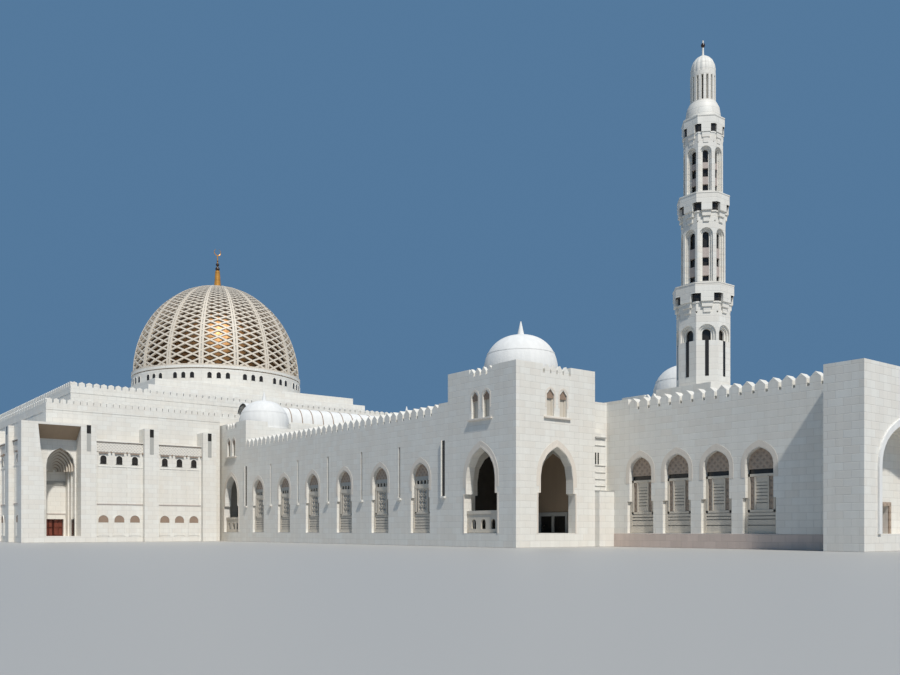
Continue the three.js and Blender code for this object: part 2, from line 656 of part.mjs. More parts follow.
// Court wall and floor of the link in front of the hall.
function linkWall() {
  const edge = PAV_IN - GAP;
  const wall = upright(-edge, edge, 0, BACK_LINK_TOP);
  wall.holes.push(pointedArch(0, PAV_ARCH));
  const plate = plateAlongX(wall, WING_END + GAP, WING_END + WING_WALL);
  return plate.add(block(-edge, edge, WING_END + GAP, PAV_FAR_END - GAP, 0, WING_FLOOR));
}

// The link's wall along the hall, with a passage on into it.
function linkBackWall() {
  const edge = PAV_IN - GAP;
  const wall = upright(-edge, edge, WING_FLOOR + GAP, BACK_LINK_TOP);
  wall.holes.push(pointedArch(0, { ...PAV_ARCH, sill: 0 }));
  return plateAlongX(wall, PAV_FAR_END - WING_WALL, PAV_FAR_END - GAP);
}

// Court side of the front link, with its floor.
function frontLinkCourtWall() {
  const edge = PAV_IN - GAP;
  const wall = upright(-edge, edge, 0, LINK_TOP);
  wall.holes.push(pointedArch(0, PAV_ARCH));
  const plate = plateAlongX(wall, LINK_END - WING_WALL, LINK_END);
  return plate.add(block(-edge, edge, LINK_Y + WING_WALL + GAP, LINK_END - LAP, 0, WING_FLOOR));
}

// Short front wall beside the gate wing, with the bay that carries the lattice panel.
function frontLinkWall() {
  const [x0, x1] = [-PAV_IN + GAP, -GATE_HALF - GAP];
  const wall = block(x0, x1, LINK_Y, LINK_Y + WING_WALL, 0, LINK_TOP);
  const oriel = block(x0, x0 + ORIEL.width, LINK_Y - ORIEL.reach, LINK_Y + LAP, ORIEL.low, ORIEL.top);
  const foot = block(x0, x1, LINK_Y - FOOT.reach, LINK_Y + LAP, 0, FOOT.top);
  return join([wall, oriel, foot]);
}

function frontLinkRoof() {
  const edge = PAV_IN - GAP;
  return block(-edge, edge, LINK_Y + WING_WALL + GAP, LINK_END - WING_WALL - GAP, WING_ROOF - SLAB, WING_ROOF);
}

// Left wall of the gate wing, with merlons and four arched windows.
function gateSideWall() {
  const [start, end] = [GATE_BACK + GAP, LINK_Y + WING_WALL];
  const wall = crenellated(start, end, WING_TOP, start, end - GATE_SOLID, GATE_MERLONS);
  for (let i = 0; i < GATE_BAYS; i += 1) {
    wall.holes.push(...footed(GATE_BAY_FIRST + i * GATE_BAY, GATE_ARCH, GATE_FOOT));
  }
  return plateAlongY(wall, -GATE_HALF, -GATE_HALF + WING_WALL);
}

// Floor or roof of the gate wing, cut round the minaret's base.
function gateSlab(z0, z1) {
  const x = GATE_HALF - WING_WALL - GAP;
  const plate = block(-x, x, GATE_BACK + GAP, LINK_Y + WING_WALL, z0, z1);
  const half = MINARET_BASE + GAP;
  return plate.subtract(block(-half, half, MINARET_Y - half, MINARET_Y + half, z0 - CUT, z1 + CUT));
}

// Gate block across the end of the gate wing, with its deep porch and a double doorway.
function gateBlock() {
  const solid = block(-GATE_WIDE, GATE_WIDE, GATE_FRONT, GATE_BACK, 0, WING_TOP + MERLON);
  const porch = pointedArch(0, { ...PORCH, sill: WING_FLOOR });
  const door = upright(-DOOR_WIDTH / 2, DOOR_WIDTH / 2, WING_FLOOR, WING_FLOOR + DOOR_HEIGHT);
  return solid
    .subtract(plateAlongX(porch, GATE_FRONT - CUT, GATE_BACK - GATE_WALL, 5))
    .subtract(plateAlongX(door, GATE_BACK - GATE_WALL - CUT, GATE_BACK + CUT));
}

// One door leaf flush with the inner face of its wall, on the given side of the doorway.
// It turns on a pin at its outer edge that stands on the sill and reaches the lintel.
function doorLeaf(centre, side, inner, floor) {
  const [near, far] = [centre + side * CLEAR / 2, centre + side * (DOOR_WIDTH / 2 - CLEAR)];
  const [x0, x1] = [Math.min(near, far), Math.max(near, far)];
  const leaf = block(x0, x1, inner - LEAF, inner, floor + CLEAR, floor + DOOR_HEIGHT - CLEAR);
  const pin = turned([
    [0, floor + GAP], [DOOR_PIN, floor + GAP],
    [DOOR_PIN, floor + DOOR_HEIGHT - GAP], [0, floor + DOOR_HEIGHT - GAP],
  ], 8, far, inner);
  return leaf.add(pin);
}

// A closed pair of leaves as one slab.
function closedDoor(centre, inner, floor) {
  const half = DOOR_WIDTH / 2 - GAP;
  return block(centre - half, centre + half, inner - LEAF, inner, floor + GAP, floor + DOOR_HEIGHT - GAP);
}

// One octagonal storey of the minaret: a tube with an arch in each face, corbels and a balcony.
function minaretTier(tier) {
  const [flat, low, crown, deck, top, reach] = [
    tier.flat, tier.low, tier.crown, tier.deck, tier.top, tier.reach,
  ].map((metres) => metres * M);
  const corner = 1 / Math.cos(Math.PI / 8) / 2;
  const [body, hollow] = [flat * corner, (flat - 2 * MINARET_WALL) * corner];
  const [lip, rim] = [reach * corner, (reach - 2 * RAIL_WALL) * corner];
  const profile = [
    [hollow, low + GAP], [body, low + GAP], [body, deck - CORBEL], [(body + lip) / 2, deck - CORBEL / 2],
    [lip, deck], [lip, top], [rim, top], [rim, top - BALCONY_RAIL],
    [hollow, top - BALCONY_RAIL], [hollow, low + GAP],
  ];
  const eighth = Math.PI / 8;
  let tube = turned(profile, 8, 0, MINARET_Y, eighth);
  const width = flat * TIER_ARCH;
  const arch = { width, sill: low + TIER_SILL, spring: crown - width / 2, apex: crown };
  const cutter = plateAlongX(pointedArch(0, arch), -flat, flat, 2);
  for (let i = 0; i < 4; i += 1) {
    tube = tube.subtract(cutter.rotate([0, 0, i * 45]).translate([0, MINARET_Y, 0]));
  }
  return tube;
}

// Square base of the minaret, with an open shaft inside.
function minaretBase() {
  const half = MINARET_BASE;
  const base = block(-half, half, MINARET_Y - half, MINARET_Y + half, 0, MINARET_FOOT);
  const room = half - WING_WALL;
  return base.subtract(block(-room, room, MINARET_Y - room, MINARET_Y + room, WING_FLOOR, MINARET_FOOT + CUT));
}

// Cap, slotted lantern, ribbed dome and spike on top of the minaret.
function minaretLantern() {
  const foot = TIERS.at(-1).top * M - BALCONY_RAIL + GAP;
  const cap = LANTERN_CAP.map(([r, z]) => [r * M, LANTERN_TOP + z * M]);
  const profile = [
    [0, foot], [BELL_R, foot], [BELL_R, BELL_TOP], [SHOULDER_R, SHOULDER_TOP],
    [LANTERN_R, LANTERN_LOW], [LANTERN_R, LANTERN_TOP], ...cap, [0, cap.at(-1)[1]],
  ];
  let lantern = turned(profile, 16, 0, MINARET_Y);
  const { count, width, sill, top } = LANTERN_SLOT;
  const slot = block(-BELL_R, BELL_R, -width / 2, width / 2, sill, top);
  for (let i = 0; i < count / 2; i += 1) {
    lantern = lantern.subtract(slot.rotate([0, 0, ((i + 0.5) * 360) / count]).translate([0, MINARET_Y, 0]));
  }
  const hollow = roundTube(LANTERN_R - LANTERN_WALL, sill, top, 12).translate([0, MINARET_Y - HALL_Y, 0]);
  return lantern.subtract(hollow);
}

function buildHall() {
  place('hall_floor', hallFloor(), FLOOR_STONE);
  place('hall_front_wall', hallFrontWall(false), STONE);
  place('hall_rear_wall', turnedRound(hallFrontWall(true)), STONE);
  const left = hallLeftWall();
  place('hall_left_wall', left, STONE);
  place('hall_right_wall', mirrored(left), STONE);
  const inside = HALL_HALF - HALL_WALL - GAP;
  const terrace = squareRing(inside, UPPER_HALF - HALL_WALL, TERRACE_TOP - SLAB, TERRACE_TOP);
  place('hall_terrace', terrace, ROOF_STONE);
  const base = TERRACE_TOP + GAP;
  place('hall_front_vault', frontVault(), ROOF_STONE);
  place('hall_upper_walls', squareRing(UPPER_HALF, UPPER_HALF - HALL_WALL, base, UPPER_TOP), STONE);
  const roofHalf = UPPER_HALF - HALL_WALL - GAP;
  const roof = block(-roofHalf, roofHalf, HALL_Y - roofHalf, HALL_Y + roofHalf, UPPER_ROOF - SLAB, UPPER_ROOF);
  place('hall_roof', roof.subtract(roundTube(DRUM_R - DRUM_WALL, 0, UPPER_ROOF + CUT, 32)), ROOF_STONE);
  place('dome_platform', domePlatform(), STONE);
  place('dome_drum', drum(), STONE);
  place('inner_dome', innerDome(), GOLD);
  place('dome_cage', domeCage(), STONE);
  place('dome_finial', domeFinial(), GOLD);
}

function placeBothSides(name, solid, look) {
  place(`left_${name}`, solid, look);
  place(`right_${name}`, mirrored(solid), look);
}

function buildForecourt() {
  placeBothSides('wing_outer_wall', wingOuterWall(), STONE);
  placeBothSides('wing_court_wall', wingCourtWall(), STONE);
  placeBothSides('wing_floor', wingSlab(0, WING_FLOOR), FLOOR_STONE);
  placeBothSides('wing_roof', wingSlab(WING_ROOF - SLAB, WING_ROOF), ROOF_STONE);
  for (const [where, y0, y1] of [['near', PAV_NEAR, WING_START], ['far', WING_END, PAV_FAR_END - GAP]]) {
    placeBothSides(`${where}_pavilion`, pavilion(y0, y1), STONE);
    placeBothSides(`${where}_pavilion_dome`, pavilionRoof(y0, y1), ROOF_STONE);
  }
  place('link_roof', linkRoof(), ROOF_STONE);
  place('link_court_wall', linkWall(), SHADED_STONE);
  place('link_back_wall', linkBackWall(), SHADED_STONE);
}

function buildGateWing() {
  placeBothSides('front_link_wall', frontLinkWall(), STONE);
  place('front_link_court_wall', frontLinkCourtWall(), SHADED_STONE);
  place('front_link_roof', frontLinkRoof(), ROOF_STONE);
  placeBothSides('gate_wing_wall', gateSideWall(), STONE);
  place('gate_wing_floor', gateSlab(0, WING_FLOOR), FLOOR_STONE);
  place('gate_wing_roof', gateSlab(WING_ROOF - SLAB, WING_ROOF), ROOF_STONE);
  place('gate_block', gateBlock(), STONE);
}

function buildDoors() {
  const inner = HALL_Y - HALL_HALF - PYLON_REACH + NICHE_DEPTH + NICHE_BACK;
  place('hall_door_left_leaf', doorLeaf(-NICHE_X, -1, inner, HALL_FLOOR), TIMBER);
  place('hall_door_right_leaf', doorLeaf(-NICHE_X, 1, inner, HALL_FLOOR), TIMBER);
  place('right_hall_door', closedDoor(NICHE_X, inner, HALL_FLOOR), TIMBER);
  place('gate_door_left_leaf', doorLeaf(0, -1, GATE_BACK, WING_FLOOR), TIMBER);
  place('gate_door_right_leaf', doorLeaf(0, 1, GATE_BACK, WING_FLOOR), TIMBER);
}

function buildMinaret() {
  place('minaret_base', minaretBase(), STONE);
  for (const tier of TIERS) place(`minaret_${tier.name}_tier`, minaretTier(tier), STONE);
  place('minaret_lantern', minaretLantern(), STONE);
}

buildHall();
buildForecourt();
buildGateWing();
buildDoors();
buildMinaret();

export default model;
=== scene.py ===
"""Looks of a domed prayer hall with a walled forecourt and a minaret, a 1:10 model.

Lengths are the building's own metres, and SCALE turns them into metres of the model.
A wall piece is drawn facing the gate, with x to the right, z up and y into the wall,
and is then stood in its place.
"""
import math

import bmesh
import bpy
import numpy as np
from bpy.props import FloatProperty, FloatVectorProperty, IntProperty, PointerProperty
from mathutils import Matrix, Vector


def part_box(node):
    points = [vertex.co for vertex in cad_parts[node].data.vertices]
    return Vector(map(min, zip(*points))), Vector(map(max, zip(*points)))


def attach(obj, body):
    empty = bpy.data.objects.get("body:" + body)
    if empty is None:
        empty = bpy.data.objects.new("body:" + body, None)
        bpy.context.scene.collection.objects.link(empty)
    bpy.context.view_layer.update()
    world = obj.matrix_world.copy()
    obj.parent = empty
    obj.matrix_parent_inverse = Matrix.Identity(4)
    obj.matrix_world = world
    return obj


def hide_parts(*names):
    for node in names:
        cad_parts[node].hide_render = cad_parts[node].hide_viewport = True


bl_info = {
    "name": "Mosque looks",
    "version": (1, 0, 0),
    "blender": (4, 5, 0),
    "location": "View3D > Sidebar > Mosque",
    "description": "Builds the lattice dome, trim, screens, minaret and stage of the mosque model",
    "category": "Object",
}

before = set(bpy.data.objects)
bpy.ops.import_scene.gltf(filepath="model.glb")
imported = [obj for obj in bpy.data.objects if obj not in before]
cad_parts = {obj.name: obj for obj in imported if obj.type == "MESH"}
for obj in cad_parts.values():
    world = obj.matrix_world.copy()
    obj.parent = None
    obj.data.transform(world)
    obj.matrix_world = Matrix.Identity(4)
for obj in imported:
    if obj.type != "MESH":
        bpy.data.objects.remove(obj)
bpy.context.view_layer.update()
SCALE = 0.1
ROOT = "building"

# Places of the main parts, in the building's metres
HALL_Y = 43.85
HALL_HALF = 41.4
HALL_TOP = 18.3
UPPER_HALF = 37.2
UPPER_TOP = 21.4
PYLON_REACH = 3.75
PYLON_WIDTH = 1.95
PYLON_PITCH = 8.23
PYLON_OUTER = 4.5 * PYLON_PITCH
BAY_REACH = 3.0
FORWARD = 1.5
FORWARD_TOP = 18.1
FORWARD_END = 41.73
FORWARD_START = 18.1
NICHE_X = 39.95
NICHE_OUT = HALL_HALF + PYLON_REACH - PYLON_WIDTH
NICHE_IN = PYLON_OUTER + PYLON_WIDTH / 2
NICHE_SIDE = 1.3
NICHE_FRONT = HALL_Y - HALL_HALF - PYLON_REACH
NICHE_WALL_Y = HALL_Y - HALL_HALF - FORWARD
NICHE_BACK_Y = 4.15
DRUM_R = 15.87
DRUM_LOW = 26.8
DRUM_TOP = 31.0
DOME_R = 15.66
DOME_RISE = 18.0
INNER_R = 14.5
INNER_RISE = 16.8
PANELS = 16
WING_X = 17.8
WING_BAY = 7.43
WING_FIRST = -48.13
PAV_X = 12.7
PAV_HALF = 5.1
NEAR_PAV_Y = -57.7
FAR_PAV_Y = -2.3515
NEAR_HALF = 4.95
FAR_HALF = 4.7985
PAV_NOTCH = 16.0
GATE_X = 5.5
GATE_FRONT = -89.0
GATE_BACK = -85.85
GATE_BAY = 4.2
GATE_FIRST = -79.03
MINARET_Y = -69.45
GAP = 0.003
EDGE = 0.02

# Camera: pixels of the picture that the lens and the horizon were measured in
PICTURE_WIDE = 900
PICTURE_TALL = 675
LENS_PIXELS = 890
HORIZON_PIXEL = 530
EYE = (-71.1, -121.55, 1.6)
VIEW_TURN = -37.9


class Form:
    """Closed bodies as an (n, 3) array of points and a list of (m, k) arrays of corner numbers."""

    def __init__(self, points, faces):
        self.points = np.asarray(points, float)
        self.faces = faces

    def __add__(self, other):
        shifted = [face + len(self.points) for face in other.faces]
        return Form(np.vstack([self.points, other.points]), self.faces + shifted)

    def moved(self, x=0.0, y=0.0, z=0.0):
        return Form(self.points + [x, y, z], self.faces)

    def turned(self, degrees):
        """Turned about the vertical axis: x' = x cos a - y sin a, y' = x sin a + y cos a."""
        a = math.radians(degrees)
        turn = np.array([[math.cos(a), math.sin(a), 0], [-math.sin(a), math.cos(a), 0], [0, 0, 1]])
        return Form(self.points @ turn, self.faces)

    def mirrored(self):
        """Left and right swapped, each face read backwards so that it still looks out."""
        return Form(self.points * [-1, 1, 1], [face[:, ::-1] for face in self.faces])

    def copied(self, offsets):
        """One copy of the form at each offset of an (n, 3) array."""
        offsets = np.asarray(offsets, float)
        points = (self.points[None] + offsets[:, None]).reshape(-1, 3)
        step = len(self.points) * np.arange(len(offsets))[:, None, None]
        return Form(points, [(face[None] + step).reshape(-1, face.shape[1]) for face in self.faces])


def joined(forms):
    """Several forms as one."""
    total = forms[0]
    for form in forms[1:]:
        total = total + form
    return total


def both_sides(form):
    return form + form.mirrored()


def net(rows, columns, loop_rows, loop_columns):
    """Corner numbers of the quads of a grid of points, closed round in either direction."""
    i = np.arange(rows if loop_rows else rows - 1)[:, None]
    j = np.arange(columns if loop_columns else columns - 1)[None]
    i2, j2 = (i + 1) % rows, (j + 1) % columns
    quads = [i * columns + j, i2 * columns + j, i2 * columns + j2, i * columns + j2]
    return np.stack(np.broadcast_arrays(*quads), -1).reshape(-1, 4)


def sleeve(rings, closed=False):
    """A section carried along a path: rings is (path, section, 3), capped unless it closes on itself."""
    rows, columns = rings.shape[:2]
    faces = [net(rows, columns, closed, True)]
    if not closed:
        faces += [np.arange(columns)[None, ::-1], (rows - 1) * columns + np.arange(columns)[None]]
    return Form(rings.reshape(-1, 3), faces)


def blocks(low, high):
    """Boxes between matching rows of two (n, 3) arrays: corner = low + k (high - low), k in {0, 1}."""
    low, high = np.atleast_2d(low).astype(float), np.atleast_2d(high).astype(float)
    low, high = np.broadcast_arrays(low, high)
    square = [[0, 0], [1, 0], [1, 1], [0, 1]]
    corner = np.array([[*xy, z] for z in (0, 1) for xy in square])
    sides = np.array([[0, 3, 2, 1], [4, 5, 6, 7], [0, 1, 5, 4], [1, 2, 6, 5], [2, 3, 7, 6], [3, 0, 4, 7]])
    points = low[:, None] + corner * (high - low)[:, None]
    faces = sides + 8 * np.arange(len(low))[:, None, None]
    return Form(points.reshape(-1, 3), [faces.reshape(-1, 4)])


def bar(x0, x1, y0, y1, z0, z1):
    return blocks([x0, y0, z0], [x1, y1, z1])


def across(half, y0, y1, z0, z1):
    """A bar that reaches as far to the left as to the right."""
    return bar(-half, half, y0, y1, z0, z1)


def twins(x, half, y0, y1, z0, z1):
    """Two like bars, as far out to the left and to the right."""
    return [bar(s * x - half, s * x + half, y0, y1, z0, z1) for s in (-1, 1)]


def upright(curve, y):
    """A curve of x and z, stood at y."""
    return np.column_stack([curve[:, 0], np.full(len(curve), y), curve[:, 1]])


def plate(outline, y0, y1):
    """An outline of x and z filled from y0 to y1."""
    outline = np.asarray(outline, float)
    return sleeve(np.stack([upright(outline, y) for y in (y0, y1)]))


def revolved(profile, sides, loop=False):
    """x = r cos t, y = r sin t for each radius r and height z; both ends lie on the axis unless it loops."""
    profile = np.asarray(profile, float)
    t = 2 * np.pi * np.arange(sides) / sides
    body = profile if loop else profile[1:-1]
    rings = np.stack([body[:, :1] * np.cos(t), body[:, :1] * np.sin(t), np.tile(body[:, 1:], sides)], -1)
    rows = len(body)
    faces = [net(rows, sides, loop, True)]
    points = rings.reshape(-1, 3)
    if not loop:
        poles = np.array([[0, 0, profile[0, 1]], [0, 0, profile[-1, 1]]])
        first, last = rows * sides, rows * sides + 1
        i, j = np.arange(sides), (np.arange(sides) + 1) % sides
        top = (rows - 1) * sides
        faces += [np.column_stack([np.full(sides, first), j, i])]
        faces += [np.column_stack([np.full(sides, last), top + i, top + j])]
        points = np.vstack([points, poles])
    return Form(points, faces)


def pointed(width, foot, spring, apex, steps=10):
    """Left jamb, the curve (1-t)^2 p + 2t(1-t) q + t^2 r from spring p to apex r, and its mirror image."""
    half = width / 2
    t = np.linspace(0, 1, steps + 1)[:, None]
    p = np.array([-half, spring])
    q = np.array([-half, spring + 0.72 * (apex - spring)])
    r = np.array([0, apex])
    left = (1 - t) ** 2 * p + 2 * t * (1 - t) * q + t**2 * r
    return np.vstack([[-half, foot], left, left[-2::-1] * [-1, 1], [half, foot]])


def rounded(width, foot, spring, steps=16):
    """Two jambs under a half circle: x = -a cos t, z = spring + a sin t, with a half the width."""
    t = np.linspace(0, np.pi, steps + 1)
    arc = np.column_stack([-width / 2 * np.cos(t), spring + width / 2 * np.sin(t)])
    return np.vstack([[-width / 2, foot], arc, [width / 2, foot]])


def band(outer, inner, y0, y1, closed=False):
    """The flat ring between two curves with like numbers of points, from y0 to y1."""
    corners = [(outer, y0), (outer, y1), (inner, y1), (inner, y0)]
    return sleeve(np.stack([upright(curve, y) for curve, y in corners], 1), closed)


def surround(curve, width, top):
    """The rectangle round an arch curve, point by point: up the side, then along the top."""
    count = len(curve)
    t = np.linspace(-1, 1, count - 2)
    x = np.clip(2 * t, -1, 1) * width / 2
    z = np.where(np.abs(t) > 0.5, curve[1, 1] + (top - curve[1, 1]) * 2 * (1 - np.abs(t)), top)
    outer = np.column_stack([x, z])
    return np.vstack([[-width / 2, curve[0, 1]], outer, [width / 2, curve[-1, 1]]])


def ball(radius, z, sides, rings, rise=None):
    """A ball on the vertical axis: its radius is R cos q at the height z + rise sin q."""
    q = np.radians(np.linspace(-90, 90, rings))
    return revolved(np.column_stack([radius * np.cos(q), z + (rise or radius) * np.sin(q)]), sides)


def row(start, end, count):
    """The middles of count equal steps from start to end."""
    return start + (np.arange(count) + 0.5) * (end - start) / count


def along(values, axis=0):
    """Offsets that step along one axis."""
    offsets = np.zeros((len(values), 3))
    offsets[:, axis] = values
    return offsets


class Value:
    """One output of a shader node; arithmetic on it adds Math nodes to the same finish."""

    def __init__(self, finish, socket):
        self.finish = finish
        self.socket = socket

    def math(self, operation, *others, swapped=False):
        values = [others[0], self] if swapped else [self, *others]
        return self.finish.add("ShaderNodeMath", {"operation": operation}, dict(enumerate(values)))

    def __add__(self, other):
        return self.math("ADD", other)

    def __sub__(self, other):
        return self.math("SUBTRACT", other)

    def __mul__(self, other):
        return self.math("MULTIPLY", other)

    def __truediv__(self, other):
        return self.math("DIVIDE", other)

    def __rsub__(self, other):
        return self.math("SUBTRACT", other, swapped=True)

    __radd__ = __add__
    __rmul__ = __mul__

    def floor(self):
        return self.math("FLOOR")

    def fract(self):
        return self.math("FRACT")

    def least(self, other):
        return self.math("MINIMUM", other)

    def below(self, limit, blur):
        """1 where the value is under the limit, falling to 0 over the blur."""
        settings = {"interpolation_type": "SMOOTHSTEP"}
        inputs = {"Value": self, "From Min": limit, "From Max": limit + blur, "To Min": 1.0, "To Max": 0.0}
        return self.finish.add("ShaderNodeMapRange", settings, inputs)


class Finish:
    """A material under construction: every node comes from add."""

    def __init__(self, name, **surface):
        self.material = bpy.data.materials.new(name)
        self.material.use_nodes = True
        self.tree = self.material.node_tree
        self.shader = self.tree.nodes["Principled BSDF"]
        for socket, value in surface.items():
            self.shader.inputs[socket.replace("_", " ")].default_value = value

    def add(self, kind, settings=None, inputs=None, out=0):
        node = self.tree.nodes.new(kind)
        for key, value in (settings or {}).items():
            setattr(node, key, value)
        for key, value in (inputs or {}).items():
            if isinstance(value, Value):
                self.tree.links.new(value.socket, node.inputs[key])
            else:
                node.inputs[key].default_value = value
        return Value(self, node.outputs[out])

    def place(self):
        """Object coordinates as three numbers, in the building's metres."""
        point = self.add("ShaderNodeTexCoord", out="Object")
        real = self.add("ShaderNodeVectorMath", {"operation": "SCALE"}, {0: point, "Scale": 1 / SCALE})
        return [self.add("ShaderNodeSeparateXYZ", inputs={0: real}, out=axis) for axis in range(3)]

    def vector(self, x, y, z):
        return self.add("ShaderNodeCombineXYZ", inputs={0: x, 1: y, 2: z})

    def noise(self, vector, scale, detail=3.0):
        return self.add("ShaderNodeTexNoise", inputs={"Vector": vector, "Scale": scale, "Detail": detail})

    def mix(self, factor, first, second):
        return self.add("ShaderNodeMix", {"data_type": "RGBA"}, {0: factor, 6: first, 7: second}, out=2)

    def bump(self, height, distance, strength=1.0):
        inputs = {"Height": height, "Distance": distance * SCALE, "Strength": strength}
        normal = self.add("ShaderNodeBump", inputs=inputs)
        self.feed("Normal", normal)

    def feed(self, socket, value):
        self.tree.links.new(value.socket, self.shader.inputs[socket])


def rgba(colour):
    return (*colour, 1.0)


def shade(colour, factor):
    return tuple(channel * factor for channel in colour)


def ashlar(name, light, warm, block=(1.25, 0.6), roughness=0.55, joint=0.012, stain=0.10):
    """Coursed stone: blocks in running bond with their own tone, thin joints and faint streaks.

    A block's number is the whole part of (x + y) / width and z / height, and its tone is random.
    """
    finish = Finish(name, Roughness=roughness)
    x, y, z = finish.place()
    course = z / block[1]
    run = (x + y) / block[0] + (course.floor() * 0.5).fract()
    number = finish.vector(run.floor(), course.floor(), 0.0)
    tone = finish.add("ShaderNodeTexWhiteNoise", {"noise_dimensions": "3D"}, {0: number})
    side, height = run.fract(), course.fract()
    gap = (side.least(1.0 - side) * block[0]).least(height.least(1.0 - height) * block[1])
    seam = gap.below(joint, 0.02)
    point = finish.vector(x, y, z)
    cloud = finish.noise(point, 0.22, 4.0)
    streak = finish.noise(finish.vector(x * 1.6, y * 1.6, z * 0.12), 1.0, 3.0)
    base = finish.mix(tone * 0.75 + cloud * 0.25, rgba(light), rgba(warm))
    worn = finish.mix(streak.below(0.42, 0.22) * stain, base, rgba(shade(warm, 0.62)))
    finish.feed("Base Color", finish.mix(seam * 0.2, worn, rgba(shade(warm, 0.45))))
    grain = finish.noise(point, 9.0, 5.0)
    finish.bump(grain * 0.25 - seam * 0.5, 0.015)
    return finish.material


def carved(name, light, dark, pitch=0.42, roughness=0.6):
    """Carved stone: crossing waves sin(a x) sin(b z) in low relief, with painted shade darkening the hollows.
    """
    finish = Finish(name, Roughness=roughness)
    x, y, z = finish.place()
    turn = 2 * math.pi / pitch
    wave = ((x + y) * turn).math("SINE") * (z * turn).math("SINE")
    petals = ((x + y + z) * turn * 0.5).math("SINE") * ((x + y - z) * turn * 0.5).math("SINE")
    relief = wave.math("ABSOLUTE") * 0.5 + petals.math("ABSOLUTE") * 0.5
    cloud = finish.noise(finish.vector(x, y, z), 0.8, 4.0)
    # Painted shade: the hollows of the relief are darkened.
    deep = relief.below(0.16, 0.22)
    base = finish.mix(cloud, rgba(light), rgba(shade(light, 0.9)))
    finish.feed("Base Color", finish.mix(deep * 0.8, base, rgba(dark)))
    finish.bump(relief, 0.05)
    return finish.material


def plain_stone(name, light, roughness=0.5):
    """Smooth stone or render with soft clouds and a fine grain."""
    finish = Finish(name, Roughness=roughness)
    x, y, z = finish.place()
    point = finish.vector(x, y, z)
    cloud = finish.noise(point, 0.35, 4.0)
    drip = finish.noise(finish.vector(x * 2.0, y * 2.0, z * 0.2), 1.0, 3.0)
    base = finish.mix(cloud, rgba(light), rgba(shade(light, 0.88)))
    finish.feed("Base Color", finish.mix(drip.below(0.4, 0.2) * 0.12, base, rgba(shade(light, 0.55))))
    finish.bump(finish.noise(point, 7.0, 5.0), 0.015)
    return finish.material


def gilding(name, colour, roughness=0.44, metallic=0.85):
    """Gilded plates: seams every 1.4 m of height and fine changes of tone and polish."""
    finish = Finish(name, Metallic=metallic)
    x, y, z = finish.place()
    point = finish.vector(x, y, z)
    tone = finish.noise(point, 0.6, 5.0)
    level = (z / 1.4).fract()
    seam = level.least(1.0 - level).below(0.015, 0.02)
    base = finish.mix(tone, rgba(colour), rgba(shade(colour, 0.6)))
    finish.feed("Base Color", finish.mix(seam * 0.6, base, rgba(shade(colour, 0.3))))
    finish.feed("Roughness", finish.noise(point, 2.0, 3.0) * 0.25 + (roughness - 0.12))
    finish.bump(tone * 0.3 - seam, 0.03)
    return finish.material


def timber(name, colour):
    """Dark timber: rings stretched upright, with fine grain and a soft polish."""
    finish = Finish(name)
    x, y, z = finish.place()
    grain = finish.noise(finish.vector(x * 14.0, y * 14.0, z * 0.8), 1.0, 6.0)
    pore = finish.noise(finish.vector(x * 60.0, y * 60.0, z * 3.0), 1.0, 2.0)
    finish.feed("Base Color", finish.mix(grain, rgba(shade(colour, 1.35)), rgba(shade(colour, 0.5))))
    finish.feed("Roughness", pore * 0.2 + 0.35)
    finish.bump(grain * 0.6 + pore * 0.4, 0.01)
    return finish.material


def dark_pane(name, colour):
    """A dark glazed opening with faint ripples; the same finish paints near-black shadow in slots, cores and
    gaps.
    """
    finish = Finish(name, Roughness=0.25)
    x, y, z = finish.place()
    ripple = finish.noise(finish.vector(x, y, z), 1.5, 2.0)
    finish.feed("Base Color", finish.mix(ripple, rgba(colour), rgba(shade(colour, 0.4))))
    finish.bump(ripple, 0.01)
    return finish.material


def tint(name, description, default):
    return FloatVectorProperty(name=name, description=description, subtype="COLOR", size=3, min=0, max=1,
                               default=default)


def length(name, description, default, least=0.1):
    return FloatProperty(name=name, description=description, default=default, min=least)


class MosqueColours(bpy.types.PropertyGroup):
    """Colours that a user would change."""

    wall: tint("Wall stone", "Sunlit ashlar", (0.77, 0.755, 0.70))
    wall_warm: tint("Warm blocks", "Warmer blocks among the ashlar", (0.73, 0.69, 0.62))
    roof: tint("Roof", "Domes, vault and roofs", (0.79, 0.785, 0.76))
    lattice: tint("Lattice", "Bars over the great dome", (0.72, 0.64, 0.53))
    gold: tint("Inner dome", "Gilded dome behind the bars", (0.27, 0.145, 0.06))
    finial: tint("Finial", "Gold finial", (0.80, 0.38, 0.08))
    timber: tint("Doors", "Timber doors", (0.15, 0.034, 0.017))
    plinth: tint("Plinth", "Floors and plinths", (0.66, 0.54, 0.47))
    lunette: tint("Lunettes", "Brown arch fillings", (0.40, 0.31, 0.24))
    tan: tint("Soffits", "Tan soffits and window heads", (0.34, 0.25, 0.17))
    pink: tint("Pink stone", "String lines and panels of the minaret", (0.47, 0.40, 0.36))
    # Brown stone: lunettes and window heads, and the painted shadow lines under cornices and hoods and along
    # the vault ribs.
    brown: tint("Brown stone", "Hoods, heads and ribs of the vault", (0.31, 0.22, 0.16))
    rim: tint("Rims", "Stone round the tall arches", (0.75, 0.68, 0.59))
    beige: tint("Screens", "Screens in the windows", (0.62, 0.56, 0.47))
    # Dark panes, and the near-black painted shadow in slots, cores and gaps.
    glass: tint("Openings", "Dark panes", (0.035, 0.03, 0.025))
    ball: tint("Balls", "Dark balls of the finials", (0.06, 0.03, 0.02))
    floor: tint("Floor", "Plain floor under the model", (0.41, 0.40, 0.38))
    backdrop: tint("Backdrop", "Plain surroundings", (0.09, 0.19, 0.33))


